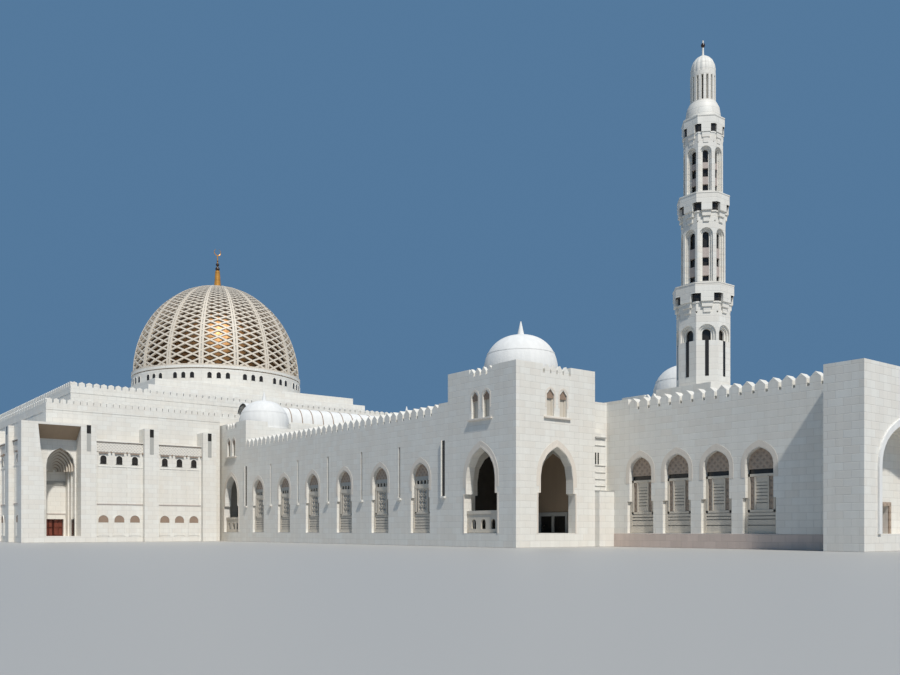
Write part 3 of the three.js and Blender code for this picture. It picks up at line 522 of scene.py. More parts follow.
class MosqueSizes(bpy.types.PropertyGroup):
    """Sizes that a user would change, in the building's metres."""

    bar_width: length("Lattice bar", "Width of a diagonal bar", 0.27)
    bar_depth: length("Lattice depth", "Depth of a diagonal bar", 0.35)
    rib_width: length("Rib bar", "Width of each bar of a double rib", 0.34)
    rib_gap: length("Rib spacing", "Distance between the bars of a rib", 0.52)
    diamonds: IntProperty(name="Diamonds", description="Diamonds round the dome", default=32, min=8)
    merlon: length("Hall merlon", "Height of a merlon on the hall", 0.62)
    sun: length("Sun", "Strength of the key light", 3.8, 0)
    fill: length("Fill", "Strength of the surrounding light", 1.0, 0)


def colours():
    return bpy.context.scene.mosque_colours


def sizes():
    return bpy.context.scene.mosque_sizes


FINISHES = {}


def finish_of(name):
    """The finish of that name, made on first use."""
    if name not in FINISHES:
        tone = colours()
        makers = {
            "wall_stone": lambda: ashlar(name, tone.wall, tone.wall_warm),
            "tower_stone": lambda: ashlar(name, tone.wall, tone.wall_warm, block=(1.1, 0.55)),
            "roof_stone": lambda: plain_stone(name, tone.roof, 0.8),
            # The wall colour darkened to 0.56: a painted shade for slot and window backs, grooves, bands,
            # frames and lintels.
            "painted_shade_stone": lambda: plain_stone(name, shade(tone.wall, 0.56), 0.7),
            "tan_stone": lambda: plain_stone(name, tone.tan, 0.7),
            "lattice_stone": lambda: plain_stone(name, tone.lattice),
            "plinth_stone": lambda: ashlar(name, tone.plinth, shade(tone.plinth, 0.85), block=(1.2, 0.6)),
            "carved_stone": lambda: carved(name, tone.wall_warm, shade(tone.wall_warm, 0.74)),
            "lunette_stone": lambda: carved(name, tone.lunette, shade(tone.lunette, 0.6), pitch=0.6),
            "pink_stone": lambda: plain_stone(name, tone.pink),
            "brown_stone": lambda: plain_stone(name, tone.brown, 0.7),
            "rim_stone": lambda: plain_stone(name, tone.rim, 0.7),
            "beige_stone": lambda: plain_stone(name, tone.beige, 0.7),
            "dome_gold": lambda: gilding(name, tone.gold),
            "finial_gold": lambda: gilding(name, tone.finial, roughness=0.3, metallic=0.4),
            "door_timber": lambda: timber(name, tone.timber),
            "dark_ball": lambda: dark_pane(name, tone.ball),
            # Dark glazed openings, and near-black painted shadow.
            "window_glass": lambda: dark_pane(name, tone.glass),
        }
        FINISHES[name] = makers[name]()
    return FINISHES[name]


def put(name, form, finish, replaces=(), body=ROOT, smooth=False):
    """A form as a finished piece: scaled to the model, facing out, with its finish, slot and body."""
    mesh = bpy.data.meshes.new(name)
    faces = [corners for group in form.faces for corners in group.tolist()]
    mesh.from_pydata(form.points * SCALE, [], faces)
    work = bmesh.new()
    work.from_mesh(mesh)
    bmesh.ops.recalc_face_normals(work, faces=work.faces)
    work.to_mesh(mesh)
    work.free()
    if smooth:
        mesh.shade_smooth()
        mesh.set_sharp_from_angle(angle=math.radians(35))
    piece = bpy.data.objects.new(name, mesh)
    bpy.context.scene.collection.objects.link(piece)
    mesh.materials.append(finish_of(finish))
    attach(piece, body)
    if replaces:
        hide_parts(*replaces)
    return piece


def dress(finish, node):
    """Gives a CAD node that stays its finish."""
    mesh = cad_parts[node].data
    mesh.materials.clear()
    mesh.materials.append(finish_of(finish))


def cad_box(node):
    """The low and high corners of a CAD node, in the building's metres."""
    return [np.array(corner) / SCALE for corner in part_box(node)]


def put_pair(name, form, finish):
    """A piece that the right side repeats."""
    put(name, both_sides(form), finish)


def side_row(form, reach, places):
    """Copies of a wall piece along both long sides of a wing, at those places in y."""
    return both_sides(form.turned(-90).moved(-reach).copied(along(np.asarray(places), 1)))


# The backs of the windows are in painted shade, the wall colour darkened.
WINDOW_KINDS = (("rims", "rim_stone"), ("screens", "beige_stone"), ("backs", "painted_shade_stone"),
                ("lunettes", "lunette_stone"), ("panes", "window_glass"))


def put_windows(wing, kinds, reach, places):
    """Windows along both sides of a wing, one piece for each kind of stone in them."""
    for forms, (kind, finish) in zip(kinds, WINDOW_KINDS):
        put(f"{wing}_window_{kind}", side_row(joined(forms), reach, places), finish)


def dome_point(radius, rise, longitude, latitude, base=DRUM_TOP):
    """x = R cos p cos t, y = R cos p sin t, z = base + H sin p, with the unit normal there."""
    ring = np.cos(latitude)
    east, north = ring * np.cos(longitude), ring * np.sin(longitude)
    point = np.stack([radius * east, radius * north, base + rise * np.sin(latitude)], -1)
    normal = np.stack([east / radius, north / radius, np.sin(latitude) / rise], -1)
    return point, normal / np.linalg.norm(normal, axis=-1, keepdims=True)


def strip(longitude, latitude, width, depth, lift=0.0):
    """A bar along a curve on the dome, half its width to each side and its depth down the normal."""
    point, normal = dome_point(DOME_R, DOME_RISE, longitude, latitude)
    side = np.cross(normal, np.gradient(point, axis=0))
    side *= (width / 2)[:, None] / np.linalg.norm(side, axis=-1, keepdims=True)
    deep = normal * depth
    point = point + normal * lift
    return sleeve(np.stack([point + side, point - side, point - side - deep, point + side - deep], 1))


def hoop(low, high, depth, sides=128, lift=0.0):
    """A ring on the dome between two latitudes, in degrees."""
    a, b = math.radians(low), math.radians(high)
    outer = [((DOME_R + lift) * math.cos(p), DRUM_TOP + (DOME_RISE + lift) * math.sin(p)) for p in (a, b)]
    inner = [(r - depth * math.cos(p), z - depth * math.sin(p)) for (r, z), p in zip(outer, (a, b))]
    return revolved([*outer, inner[1], inner[0]], sides, loop=True)


class MOSQUE_OT_great_dome(bpy.types.Operator):
    """Inner dome, the lattice of two crossing families of curves, double ribs, crown and finial."""

    bl_idname = "mosque.great_dome"
    bl_label = "Great dome"

    LATTICE_TOP = 70.5
    RIB_TOP = 80.5
    TURN_RATE = 0.391
    SHELL = 0.3
    NARROWEST = 0.4

    def execute(self, context):
        size = sizes()
        self.gilded_dome()
        self.lattice(size)
        self.ribs(size)
        self.finial()
        return {"FINISHED"}

    def gilded_dome(self):
        p, base = np.radians(np.linspace(0, 90, 40))[:, None], DRUM_TOP + GAP
        outer, inner = (np.hstack([(INNER_R - sunk) * np.cos(p), base + (INNER_RISE - sunk) * np.sin(p)])
                        for sunk in (0, self.SHELL))
        profile = np.vstack([inner[-1:] * [0, 1], inner[-2::-1], outer[:-1], outer[-1:] * [0, 1]])
        put("gilded_dome", revolved(profile, 128).moved(y=HALL_Y), "dome_gold", ["inner_dome"], smooth=True)

    def lattice(self, size):
        """Bars whose turn is ln tan(pi/4 + p/2) over a rate, one way and the other."""
        p = np.linspace(0.018, math.radians(self.LATTICE_TOP), 110)
        width = size.bar_width * np.maximum(np.cos(p), self.NARROWEST)
        turn = np.log(np.tan(np.pi / 4 + p / 2)) / self.TURN_RATE
        starts = 2 * math.pi / size.diamonds * np.arange(size.diamonds)
        bars = [strip(start + lean * turn, p, width, size.bar_depth) for start in starts for lean in (-1, 1)]
        put("dome_lattice", joined(bars).moved(y=HALL_Y), "lattice_stone")

    def ribs(self, size):
        """Double ribs between the base ring and the crown, with a groove in each."""
        p = np.radians(np.linspace(0.9, self.RIB_TOP, 60))
        taper = np.maximum(np.cos(p), self.NARROWEST)
        spread = size.rib_gap / 2 * taper / DOME_R / np.cos(p)
        ribs, grooves = [], []
        for middle in row(0, 2 * math.pi, PANELS):
            for side in (-1, 1):
                turn = middle + side * spread
                ribs.append(strip(turn, p, size.rib_width * taper, size.bar_depth + 0.12, lift=0.04))
            grooves.append(strip(middle + 0 * p, p, self.SHELL * taper, 0.2, lift=-0.1))
        low, high = DRUM_TOP + GAP, DRUM_TOP + 0.27
        edge = [(DOME_R - 0.6, low), (DRUM_R + 0.06, low), (DRUM_R + 0.06, high), (DOME_R - 0.6, high)]
        rings = [revolved(edge, 160, loop=True)]
        rings += [hoop(a, b, 0.5, lift=0.02) for a, b in ((69.8, 71.4), (79.3, 81.2))]
        top = DRUM_TOP + DOME_RISE
        q = np.radians(np.linspace(89, 80.4, 8))
        curve = zip(DOME_R * np.cos(q), DRUM_TOP + DOME_RISE * np.sin(q))
        cap = [(0, top), *curve, (2.4, top - 0.8), (0, top - 0.8)]
        cage = joined(ribs + rings + [revolved(cap, 96)])
        put("dome_ribs", cage.moved(y=HALL_Y), "lattice_stone", ["dome_cage"])
        # The grooves of the ribs are in painted shade, the wall colour darkened.
        put("dome_rib_grooves", joined(grooves).moved(y=HALL_Y), "painted_shade_stone")

    def finial(self):
        """A tapered cone, dark balls on a stem and an upright crescent."""
        base = DRUM_TOP + DOME_RISE
        cone = [(0, GAP), (0.7, GAP), (0.68, 0.15), (0.58, 1.2), (0.44, 3.25), (0.3, 3.32), (0, 3.32)]
        stem = [(0, 3.3), (0.13, 3.3), (0.12, 4.4), (0.09, 6.3), (0, 6.3)]
        gold = (revolved(cone, 32) + revolved(stem, 16)).moved(y=HALL_Y, z=base)
        put("finial_stem", gold, "finial_gold", ["dome_finial"], smooth=True)
        balls = [ball(r, base + z, 24, 17) for r, z in ((0.42, 3.66), (0.33, 4.5), (0.16, 5.2))]
        put("finial_balls", joined(balls).moved(y=HALL_Y), "dark_ball", smooth=True)
        t = np.linspace(math.radians(-62), math.radians(242), 48)
        thick = 0.02 + 0.07 * np.sin((t - t[0]) / (t[-1] - t[0]) * np.pi)[:, None]
        around = np.column_stack([np.cos(t), 0 * t, -np.sin(t)])
        middle, out, flat = 0.66 * around, around * thick, np.tile([0, 0.05, 0], (len(t), 1))
        rings = np.stack([middle + out, middle + flat, middle - out, middle - flat], 1)
        put("finial_crescent", sleeve(rings).moved(y=HALL_Y, z=base + 6.95), "finial_gold")


def little_window(width, foot, spring, frame_width=0.12, depth=0.05):
    """A small round-headed window: a raised frame and a dark pane, both standing on the wall's face."""
    inner = rounded(width, foot, spring, 10)
    outer = rounded(width + 2 * frame_width, foot - frame_width, spring, 10)
    return band(outer, inner, -depth, 0.0), plate(inner, -EDGE, 0.06)


class MOSQUE_OT_drum(bpy.types.Operator):
    """Drum under the great dome: a smooth wall with its cornice and sixteen groups of three windows."""

    bl_idname = "mosque.drum"
    bl_label = "Drum"

    def execute(self, context):
        low, top, face = DRUM_LOW + GAP, DRUM_TOP, DRUM_R
        profile = [(face - 1.4, low), (face + 0.1, low), (face + 0.1, low + 0.4), (face, low + 0.5),
                   (face, top - 0.62), (face - 0.14, top - 0.6), (face - 0.14, top - 0.46),
                   (face + 0.06, top - 0.44), (face + 0.06, top), (face - 1.4, top)]
        # A tan ring in the groove at the foot of the lattice paints its shadow line.
        line = [(face - 0.4, top - 0.59), (face - 0.06, top - 0.59), (face - 0.06, top - 0.47),
                (face - 0.4, top - 0.47)]
        wall, shadow = (revolved(points, 160, loop=True).moved(y=HALL_Y) for points in (profile, line))
        put("drum_wall", wall, "wall_stone", ["dome_drum"], smooth=True)
        put("drum_shadow_line", shadow, "tan_stone")
        raised, pane = little_window(0.75, 28.7, 29.4)
        turns = [group * 360 / PANELS + shift * 5.73 for group in range(PANELS) for shift in (-1, 0, 1)]
        frames = joined([raised.moved(y=-face).turned(turn) for turn in turns])
        panes = joined([pane.moved(y=-face - 0.005).turned(turn) for turn in turns])
        put("drum_window_frames", frames.moved(y=HALL_Y), "wall_stone")
        put("drum_window_panes", panes.moved(y=HALL_Y), "window_glass")
        return {"FINISHED"}


def tooth(width, height, thick, shoulder=0.55):
    """One merlon with sloping shoulders and a point."""
    outline = [(-width / 2, 0), (width / 2, 0), (width / 2, height * shoulder), (0, height),
               (-width / 2, height * shoulder)]
    return plate(outline, 0, thick)


def square_run(half, form, count, first=0):
    """Copies of a wall piece along the sides of a square round the hall's middle, from the given side on."""
    side = form.copied(along(row(-half, half, count))).moved(y=-half)
    return joined([side.turned(90 * k) for k in range(first, 4)]).moved(y=HALL_Y)


def forward_run(form, count):
    """Copies of a wall piece along the forward parts of the hall's front wall."""
    side = form.copied(along(row(-FORWARD_END, -FORWARD_START, count))).moved(y=NICHE_WALL_Y)
    return both_sides(side)


def hall_sides():
    """Where the four walls of the hall look, with the pylons that each one has on one half."""
    full = PYLON_OUTER - PYLON_PITCH * np.arange(5)
    return [(0, full[:3]), (-90, full), (90, full), (180, full)]


BAY_FINISHES = ("wall_stone", "carved_stone", "pink_stone", "brown_stone", "window_glass")


class MOSQUE_OT_hall_trim(bpy.types.Operator):
    """Merlons, string courses, bay panels with their windows, and the painted slots of the pylons."""

    bl_idname = "mosque.hall_trim"
    bl_label = "Hall trim"

    BAY_NAMES = ("bay_mouldings", "bay_friezes", "bay_string_lines", "bay_brown_lunettes_and_shade", "bay_window_panes")
    CORNER_NAMES = ("corner_bay_mouldings", "corner_bay_friezes", "corner_bay_lines", "corner_bay_brown_lunettes_and_shade",
                    "corner_bay_panes")

    def execute(self, context):
        self.merlons()
        self.string_courses()
        self.bays()
        self.pylon_slots()
        self.corner_bays()
        return {"FINISHED"}

    def merlons(self):
        wide, narrow = (tooth(width, sizes().merlon, 0.35, shoulder=0.7) for width in (0.8, 0.66))
        middle = wide.copied(along(row(-FORWARD_START, -13.1, 5)))
        teeth = [square_run(HALL_HALF, wide, 84, first=1).moved(z=HALL_TOP),
                 forward_run(narrow, 28).moved(z=FORWARD_TOP),
                 square_run(UPPER_HALF, wide, 75).moved(z=UPPER_TOP),
                 both_sides(middle).moved(0, HALL_Y - HALL_HALF, HALL_TOP)]
        put("hall_merlons", joined(teeth), "wall_stone")

    def string_courses(self):
        hall, upper, forward = 72, 65, 20
        step = HALL_HALF / hall
        strings = [square_run(HALL_HALF, across(step, -0.04, 0, 17.2, 17.4), hall, first=1),
                   square_run(UPPER_HALF, across(0.58, -0.04, 0, 20.45, 20.65), upper)]
        step = (FORWARD_END - FORWARD_START) / forward / 2
        strings.append(forward_run(across(step, -0.04, 0, 17.2, 17.4), forward))
        put("hall_string_courses", joined(strings), "wall_stone")

    def bay(self, width, shifts):
        """One bay: cornice, frieze, hooded windows with brackets between, panel ribs and arches at the foot. A
        brown line under the cornice is its painted shadow, and the hoods and brackets are painted dark brown as
        their shade.
        """
        half, line, sill, cornice = width / 2, 4.98, 9.98, 13.28
        arch, arch_foot, arch_spring = 1.3, 0.8, 2.9
        stone = [across(half, -0.2, 0, cornice, cornice + 0.1), across(half, -0.05, 0, sill, sill + 0.1)]
        for x in (1.035, half - 0.3):
            stone += twins(x, 0.05, -0.05, 0, line + 0.1, sill)
        frieze = [across(half, -0.06, 0, 11.95, 13.16)]
        # A brown line under the cornice: its painted shadow.
        brown = [across(half, -0.12, 0, cornice - 0.1, cornice)]
        pink = [across(half, -0.06, 0, line, line + 0.1)]
        panes = []
        for x in shifts:
            raised, pane = little_window(0.8, 10.45, 11.08, 0.12, 0.06)
            inner, outer = (rounded(wide, arch_foot, arch_spring) for wide in (arch, arch + 0.26))
            stone += [raised.moved(x), band(outer, inner, -0.08, 0).moved(x),
                      across(arch / 2, -0.03, 0.3, arch_foot + 0.02, 2.6).moved(x)]
            # Brown hoods and brackets, painted dark as their shade, and the brown lunettes of the arches.
            brown += [across(0.6, -0.22, 0, 11.74, 11.84).moved(x), bar(x + 0.95, x + 1.1, -0.2, 0, 11.8, 12.0),
                      plate(rounded(arch, 2.6, arch_spring), -0.04, 0.3).moved(x)]
            panes.append(pane.moved(x))
        return stone, frieze, pink, brown, panes

    def bays(self):
        kinds = [[] for finish in BAY_FINISHES]
        parts = [joined(forms) for forms in self.bay(PYLON_PITCH - PYLON_WIDTH - 0.004, (-2.07, 0, 2.07))]
        for facing, pylons in hall_sides():
            middles = (pylons[1:] + pylons[:-1]) / 2
            spots = along(np.concatenate([middles, -middles, [0.0] if facing else []]))
            for kind, form in zip(kinds, parts):
                kind.append(form.copied(spots).moved(y=-HALL_HALF - BAY_REACH).turned(facing))
        for name, kind, finish in zip(self.BAY_NAMES, kinds, BAY_FINISHES):
            put(name, joined(kind).moved(y=HALL_Y), finish)

    def corner_bays(self):
        """The short bays on the outer sides of the front niches, with one window and one arch each."""
        for name, forms, finish in zip(self.CORNER_NAMES, self.bay(4.3, (0,)), BAY_FINISHES):
            put_pair(name, joined(forms).turned(-90).moved(-NICHE_OUT - NICHE_SIDE, 3.65), finish)

    def pylon_slots(self):
        """A slot painted on each pylon's face as two thin plates: a near-black painted shadow at its top and a
        grey painted shade below.
        """
        face = -HALL_HALF - PYLON_REACH
        for name, low, high, finish in (("pylon_slot_shadows", 14.15, 15.24, "window_glass"),
                                        ("pylon_slot_painted_shade", 11.85, 14.15, "painted_shade_stone")):
            slot = across(0.27, face - EDGE, face, low, high)
            slots = [slot.copied(along(np.concatenate([pylons, -pylons]))).turned(facing)
                     for facing, pylons in hall_sides()]
            put(name, joined(slots).moved(y=HALL_Y), finish)


class MOSQUE_OT_corner_niches(bpy.types.Operator):
    """Coved soffits, stepped half domes and string lines of the corner niches, and their doors."""

    bl_idname = "mosque.corner_niches"
    bl_label = "Corner niches"

    STEPS = 7
    FLOOR = 0.81
    LEAF_BACK = 0.035
    LEAF_THICK = 0.12

    def execute(self, context):
        self.half_domes()
        # The grey band on the back wall is a painted shade band.
        lines = [("niche_bands", across(1.45, -0.12, 0, 7.62, 8.1), "painted_shade_stone"),
                 ("niche_string_lines", across(1.45, -0.05, 0, 3.68, 3.8), "pink_stone")]
        for name, line, finish in lines:
            put_pair(name, line.moved(-NICHE_X, NICHE_BACK_Y), finish)
        rim = band(pointed(3.8, self.FLOOR, 9.9, 12.5), pointed(3.5, self.FLOOR, 9.9, 12.3), -0.05, 0)
        put_pair("niche_arch_rims", rim.moved(-NICHE_X, NICHE_WALL_Y), "wall_stone")
        self.frame()
        self.doors()
        return {"FINISHED"}

    def half_domes(self):
        """Pointed arches that step back and down, each with a darker lip painted as a line of shade."""
        depths = np.linspace(NICHE_WALL_Y + 0.6, NICHE_BACK_Y - 0.25, self.STEPS)
        arches, lips = ([pointed(width - 0.44 * k, 9.3, 9.5, apex - 0.38 * k) for k in range(self.STEPS + 1)]
                        for width, apex in ((3.46, 12.24), (3.36, 12.16)))
        steps = [band(outer, inner, y, y + 0.2) for outer, inner, y in zip(arches, arches[1:], depths)]
        put_pair("niche_conches", joined(steps).moved(-NICHE_X), "beige_stone")
        # Dark lips along the steps: painted lines of shade.
        edges = [band(outer, inner, y - 0.06, y) for outer, inner, y in zip(arches, lips, depths)]
        put_pair("niche_conch_shade_lines", joined(edges).moved(-NICHE_X), "brown_stone")

    def frame(self):
        """The cove over a niche, its battered left jamb and the gap beside its door."""
        front, back, top = NICHE_FRONT + 0.05, NICHE_WALL_Y - 0.01, 14.99
        cove = plate([(front, top), (back, top), (back, 13.4), (back - 0.14, 13.4)],
                     NICHE_IN + 0.01, NICHE_OUT - 0.01).turned(90)
        put_pair("niche_soffits", cove, "tan_stone")
        side, head = -NICHE_OUT, 15.0
        jamb = [(side - 0.05, self.FLOOR), (side + 0.8, self.FLOOR), (side + 0.76, 7.2), (side + 0.02, head),
                (side - 0.05, head)]
        put_pair("niche_battered_jambs", plate(jamb, NICHE_FRONT + 0.01, 0.6), "wall_stone")
        gap = bar(-NICHE_X + 1.62, -NICHE_X + 1.745, 1.05, 3.3, self.FLOOR + 0.01, 3.0)
        put_pair("niche_side_openings", gap, "window_glass")

    def leaf(self, low, high):
        """A leaf with four raised fields on its outer side."""
        wide, tall, face = high[0] - low[0], high[2] - low[2], low[1] - 0.025
        fields = [blocks(low, high)]
        for u0, u1 in ((0.1, 0.46), (0.54, 0.9)):
            for v0, v1 in ((0.06, 0.46), (0.53, 0.94)):
                fields.append(bar(low[0] + u0 * wide, low[0] + u1 * wide, face, face + 0.03,
                                  low[2] + v0 * tall, low[2] + v1 * tall))
        return joined(fields)

    def doors(self):
        for door in ("hall_door", "gate_door"):
            for side in ("left", "right"):
                body = f"{door}_{side}"
                low, high = cad_box(f"{body}_leaf")
                low[1] = high[1] - self.LEAF_BACK - self.LEAF_THICK
                high[1] = low[1] + self.LEAF_THICK
                put(f"{body}_panels", self.leaf(low, high), "door_timber", body=body)
                dress("door_timber", f"{body}_leaf")
        put("right_door_panels", self.leaf(*cad_box("right_hall_door")), "door_timber")
        dress("door_timber", "right_hall_door")


def footed(width, wide, jog, spring, apex, low=1.33):
    """A pointed arch over a wider foot."""
    foot, top = [(-wide / 2, low), (-wide / 2, jog)], [(wide / 2, jog), (wide / 2, low)]
    return np.vstack([foot, pointed(width, jog, spring, apex), top])


def tracery(columns, heights, y0, y1):
    """A sheet of little rings, at the crossings of the columns and heights."""
    t = np.linspace(0, 2 * np.pi, 13)[:-1]
    circle = np.column_stack([np.cos(t), np.sin(t)])
    rings = [band(circle * 0.3 + [x, z], circle * 0.2 + [x, z], y0, y1, closed=True)
             for x in columns for z in heights]
    return joined(rings)


def wing_window():
    """Warm rim, brown lunette, a row of little openings, a traceried middle and louvres below."""
    sill, middle, head, spring = 1.33, 3.24, 5.87, 6.9
    wide, front, back = 1.38, 0.3, 0.5
    rim = [band(pointed(3.7, 5.6, spring, 9.0), pointed(2.94, 5.6, spring, 8.5), -0.02, 0)]
    screen = [*twins(1.2, 0.15, front, back, 3.3, 5.9), *twins(1.52, 0.1, front, back, sill, 4.86),
              *twins(0.8, 0.07, 0.32, back, 3.4, 5.9)]
    screen += [across(0.1, 0.38, back, 6.28, 6.7).moved(x) for x in 0.6 * np.arange(-2, 3)]
    screen += [across(wide, front, back, head, 6.3), across(wide, front, back, middle, middle + 0.2),
               across(1.42, front, back, sill, 1.72)]
    screen += [across(0.86, 0.34, back, low, high) for low, high in ((3.42, 3.6), (5.74, 5.88))]
    screen += [across(1.4, 0.36, 0.52, low, low + 0.24) for low in 1.76 + 0.3 * np.arange(5)]
    screen.append(tracery((-0.5, 0, 0.5), 3.85 + 0.55 * np.arange(4), 0.36, 0.42))
    backs = [across(0.8, 0.43, 0.53, 3.42, 5.88), across(1.4, 0.53, 0.58, 1.4, 3.3),
             across(1.4, 0.44, 0.54, 6.68, 7.14)]
    lunette = [plate(pointed(2.86, 7.1, 7.12, 8.4), 0.42, 0.54)]
    panes = [plate(footed(2.86, 3.26, 4.87, spring, 8.41), 0.6, 0.7)]
    return rim, screen, backs, lunette, panes


class MOSQUE_OT_wings(bpy.types.Operator):
    """Windows, slots and ledges of the side wings, the slots filled with near-black plates of painted shadow.
    """

    bl_idname = "mosque.wings"
    bl_label = "Side wings"

    def execute(self, context):
        middles = WING_FIRST + WING_BAY * np.arange(6)
        put_windows("wing", wing_window(), WING_X, middles)
        slots = middles[:-1] + WING_BAY / 2
        ends = np.array([middles[0] - 3.92, middles[-1] + 3.72])
        low, high, half = 4.92, 10.4, 0.2
        ledge = across(0.34, -0.22, 0, low - 0.18, low)
        rim = bar(-0.33, -half, -0.16, 0, low, high)
        # Near-black plates of painted shadow: behind the slots cut in the wall, and on the face for the end
        # slots.
        back, painted_slot = across(half, 0.4, 0.5, low, high), across(half, -EDGE, 0, low, high)
        for name, form, finish, places in (("wing_slot_ledges", ledge, "wall_stone", [*slots, *ends]),
                                           ("wing_end_rims", rim, "wall_stone", ends),
                                           ("wing_slot_shadow_plates", back, "window_glass", slots),
                                           ("wing_end_slot_shadows", painted_slot, "window_glass", ends)):
            put(name, side_row(form, WING_X, places), finish)
        return {"FINISHED"}


def paired_windows():
    """Two narrow pointed windows over a ledge, with brown heads and pale panels close behind the face."""
    foot, spring = 12.9, 14.1
    light = rounded(0.62, 12.05, 13.75, 8)
    rim = band(pointed(1.3, foot, spring, 14.8), pointed(0.97, foot, spring, 14.62), -0.02, 0)
    head = plate(pointed(0.93, 13.75, spring, 14.58), 0.13, 0.2)
    panel = band(surround(light, 0.93, 14.0), light, 0.2, 0.28) + across(0.46, 0.28, 0.34, 12.05, 14.0)
    stone, brown, back = (joined([form.moved(x) for x in (-0.83, 0.83)]) for form in (rim, head, panel))
    return stone + across(1.7, -0.2, 0, 11.88, 12.02), brown, back


def tall_arch():
    """The moulding round a pavilion arch, wider below the jog."""
    spring, jog = 6.3, 5.0
    upper = band(pointed(5.2, 5.6, spring, 9.95), pointed(4.5, 5.6, spring, 9.5), -0.02, 0)
    inner = band(pointed(4.5, jog, spring, 9.5), pointed(4.2, jog, spring, 9.3), -0.04, 0)
    return joined([upper, inner, *twins(2.47, 0.07, -0.04, 0, 1.3, jog + 0.02)])


def balustrade():
    """A low stone screen across an arch, with three little arches and a rail."""
    low, rail = 1.7, 3.1
    opening = rounded(0.66, low, 2.3, 8)
    arch = band(surround(opening, 1.4, rail), opening, 0.36, 0.54)
    return joined([across(2.38, 0.3, 0.6, rail, 3.42), across(2.38, 0.34, 0.56, 1.34, low),
                   *twins(2.24, 0.14, 0.36, 0.54, low, rail), *(arch.moved(x) for x in (-1.4, 0, 1.4))])


class MOSQUE_OT_pavilions(bpy.types.Operator):
    """Arches, windows, merlons, balustrades and white domes of the four corner pavilions."""

    bl_idname = "mosque.pavilions"
    bl_label = "Corner pavilions"

    INSIDE = 0.9

    def execute(self, context):
        self.faces()
        self.screens()
        for where, middle in (("near", NEAR_PAV_Y), ("far", FAR_PAV_Y)):
            for side, x in (("left", -PAV_X), ("right", PAV_X)):
                self.dome(side, where, x, middle)
        return {"FINISHED"}

    def faces(self):
        """The near pavilions stand free on four sides, the far ones show two, with an arch on one."""
        stone, brown, back = paired_windows()
        tip = tooth(0.66, 0.8, 0.35, shoulder=0.5)
        mouldings, heads, panels, rails, teeth = [], [], [], [], []
        west, gate, east, hall = -90, 0, 90, 180
        for middle, half in ((NEAR_PAV_Y, NEAR_HALF), (FAR_PAV_Y, FAR_HALF)):
            near = middle == NEAR_PAV_Y
            sides = [(west, PAV_HALF), (gate, half)] + ([(east, PAV_HALF), (hall, half)] if near else [])
            for facing, reach in sides:
                def stand(form):
                    return form.moved(y=-reach).turned(facing).moved(-PAV_X, middle)

                if facing == west or (near and facing == gate):
                    mouldings.append(stand(tall_arch()))
                mouldings.append(stand(stone))
                heads.append(stand(brown))
                panels.append(stand(back))
                if near or facing == west:
                    notch = reach - 3.34
                    teeth.append(stand(tip.copied(along(row(-notch, notch, 4))).moved(z=PAV_NOTCH)))
                if facing == west:
                    rails.append(stand(balustrade()))
        for name, forms, finish in (("pavilion_mouldings", mouldings, "rim_stone"),
                                    ("pavilion_window_heads", heads, "brown_stone"),
                                    ("pavilion_window_panels", panels, "beige_stone"),
                                    ("pavilion_balustrades", rails, "beige_stone"),
                                    ("pavilion_merlons", teeth, "wall_stone")):
            put_pair(name, joined(forms), finish)

    def screens(self):
        """Plain screens with two dark low doorways in the inner arches of the near pavilions; the back screen
        is a near-black sheet of painted shadow.
        """
        floor, lintel, post = 1.34, 3.0, 0.16
        screen = plate(footed(4.16, 4.76, 4.98, 6.3, 9.26, floor - 0.02), 0.2, 0.3)
        frames = [across(post, 0.1, 0.2, floor, lintel).moved(x) for x in (-1.9, 0, 1.9)]
        frames.append(across(2.06, 0.1, 0.2, lintel - 0.02, 3.36))
        dark = twins(0.95, 0.76, 0.16, 0.2, floor, lintel - 0.01)
        # The back screen is near-black: painted shadow.
        back = screen.moved(-PAV_X, NEAR_PAV_Y + NEAR_HALF - self.INSIDE)
        put_pair("pavilion_back_shadow_screens", back, "window_glass")
        for name, form, finish in (("screens", screen, "tan_stone"),
                                   # The frames are in painted shade, the wall colour darkened.
                                   ("screen_frames", joined(frames), "painted_shade_stone"),
                                   ("screen_panes", joined(dark), "window_glass")):
            side = form.turned(-90).moved(-PAV_X + PAV_HALF - self.INSIDE, NEAR_PAV_Y)
            put_pair(f"pavilion_side_{name}", side, finish)

    def dome(self, side, where, x, y):
        """r = 3.62 cos(q)^a and z = 16.6 + 3.85 sin(q)^a with a = 0.87, on a ring and under a tapered spike."""
        radius, spring, rise, power = 3.62, 16.6, 3.85, 0.87
        q = np.radians(np.linspace(0, 86, 24))
        curve = np.column_stack([radius * np.cos(q) ** power, spring + rise * np.sin(q) ** power])
        ring = [(0, 15.4), (3.75, 15.4), (3.75, 16.3), (radius, 16.35)]
        spike = [(0.33, 20.5), (0.31, 20.62), (0.05, 21.8), (0, 21.8)]
        line = revolved([(3.1, 18.52), (3.31, 18.52), (3.27, 18.64), (3.1, 18.64)], 72, loop=True)
        deep, wide = NEAR_HALF - 1.1, PAV_HALF - 0.91
        roof = across(wide, -deep, deep, 15.0, 15.39)
        form = (revolved([*ring, *curve, *spike], 72) + line + roof).moved(x, y)
        put(f"{side}_{where}_white_dome", form, "roof_stone", [f"{side}_{where}_pavilion_dome"], smooth=True)


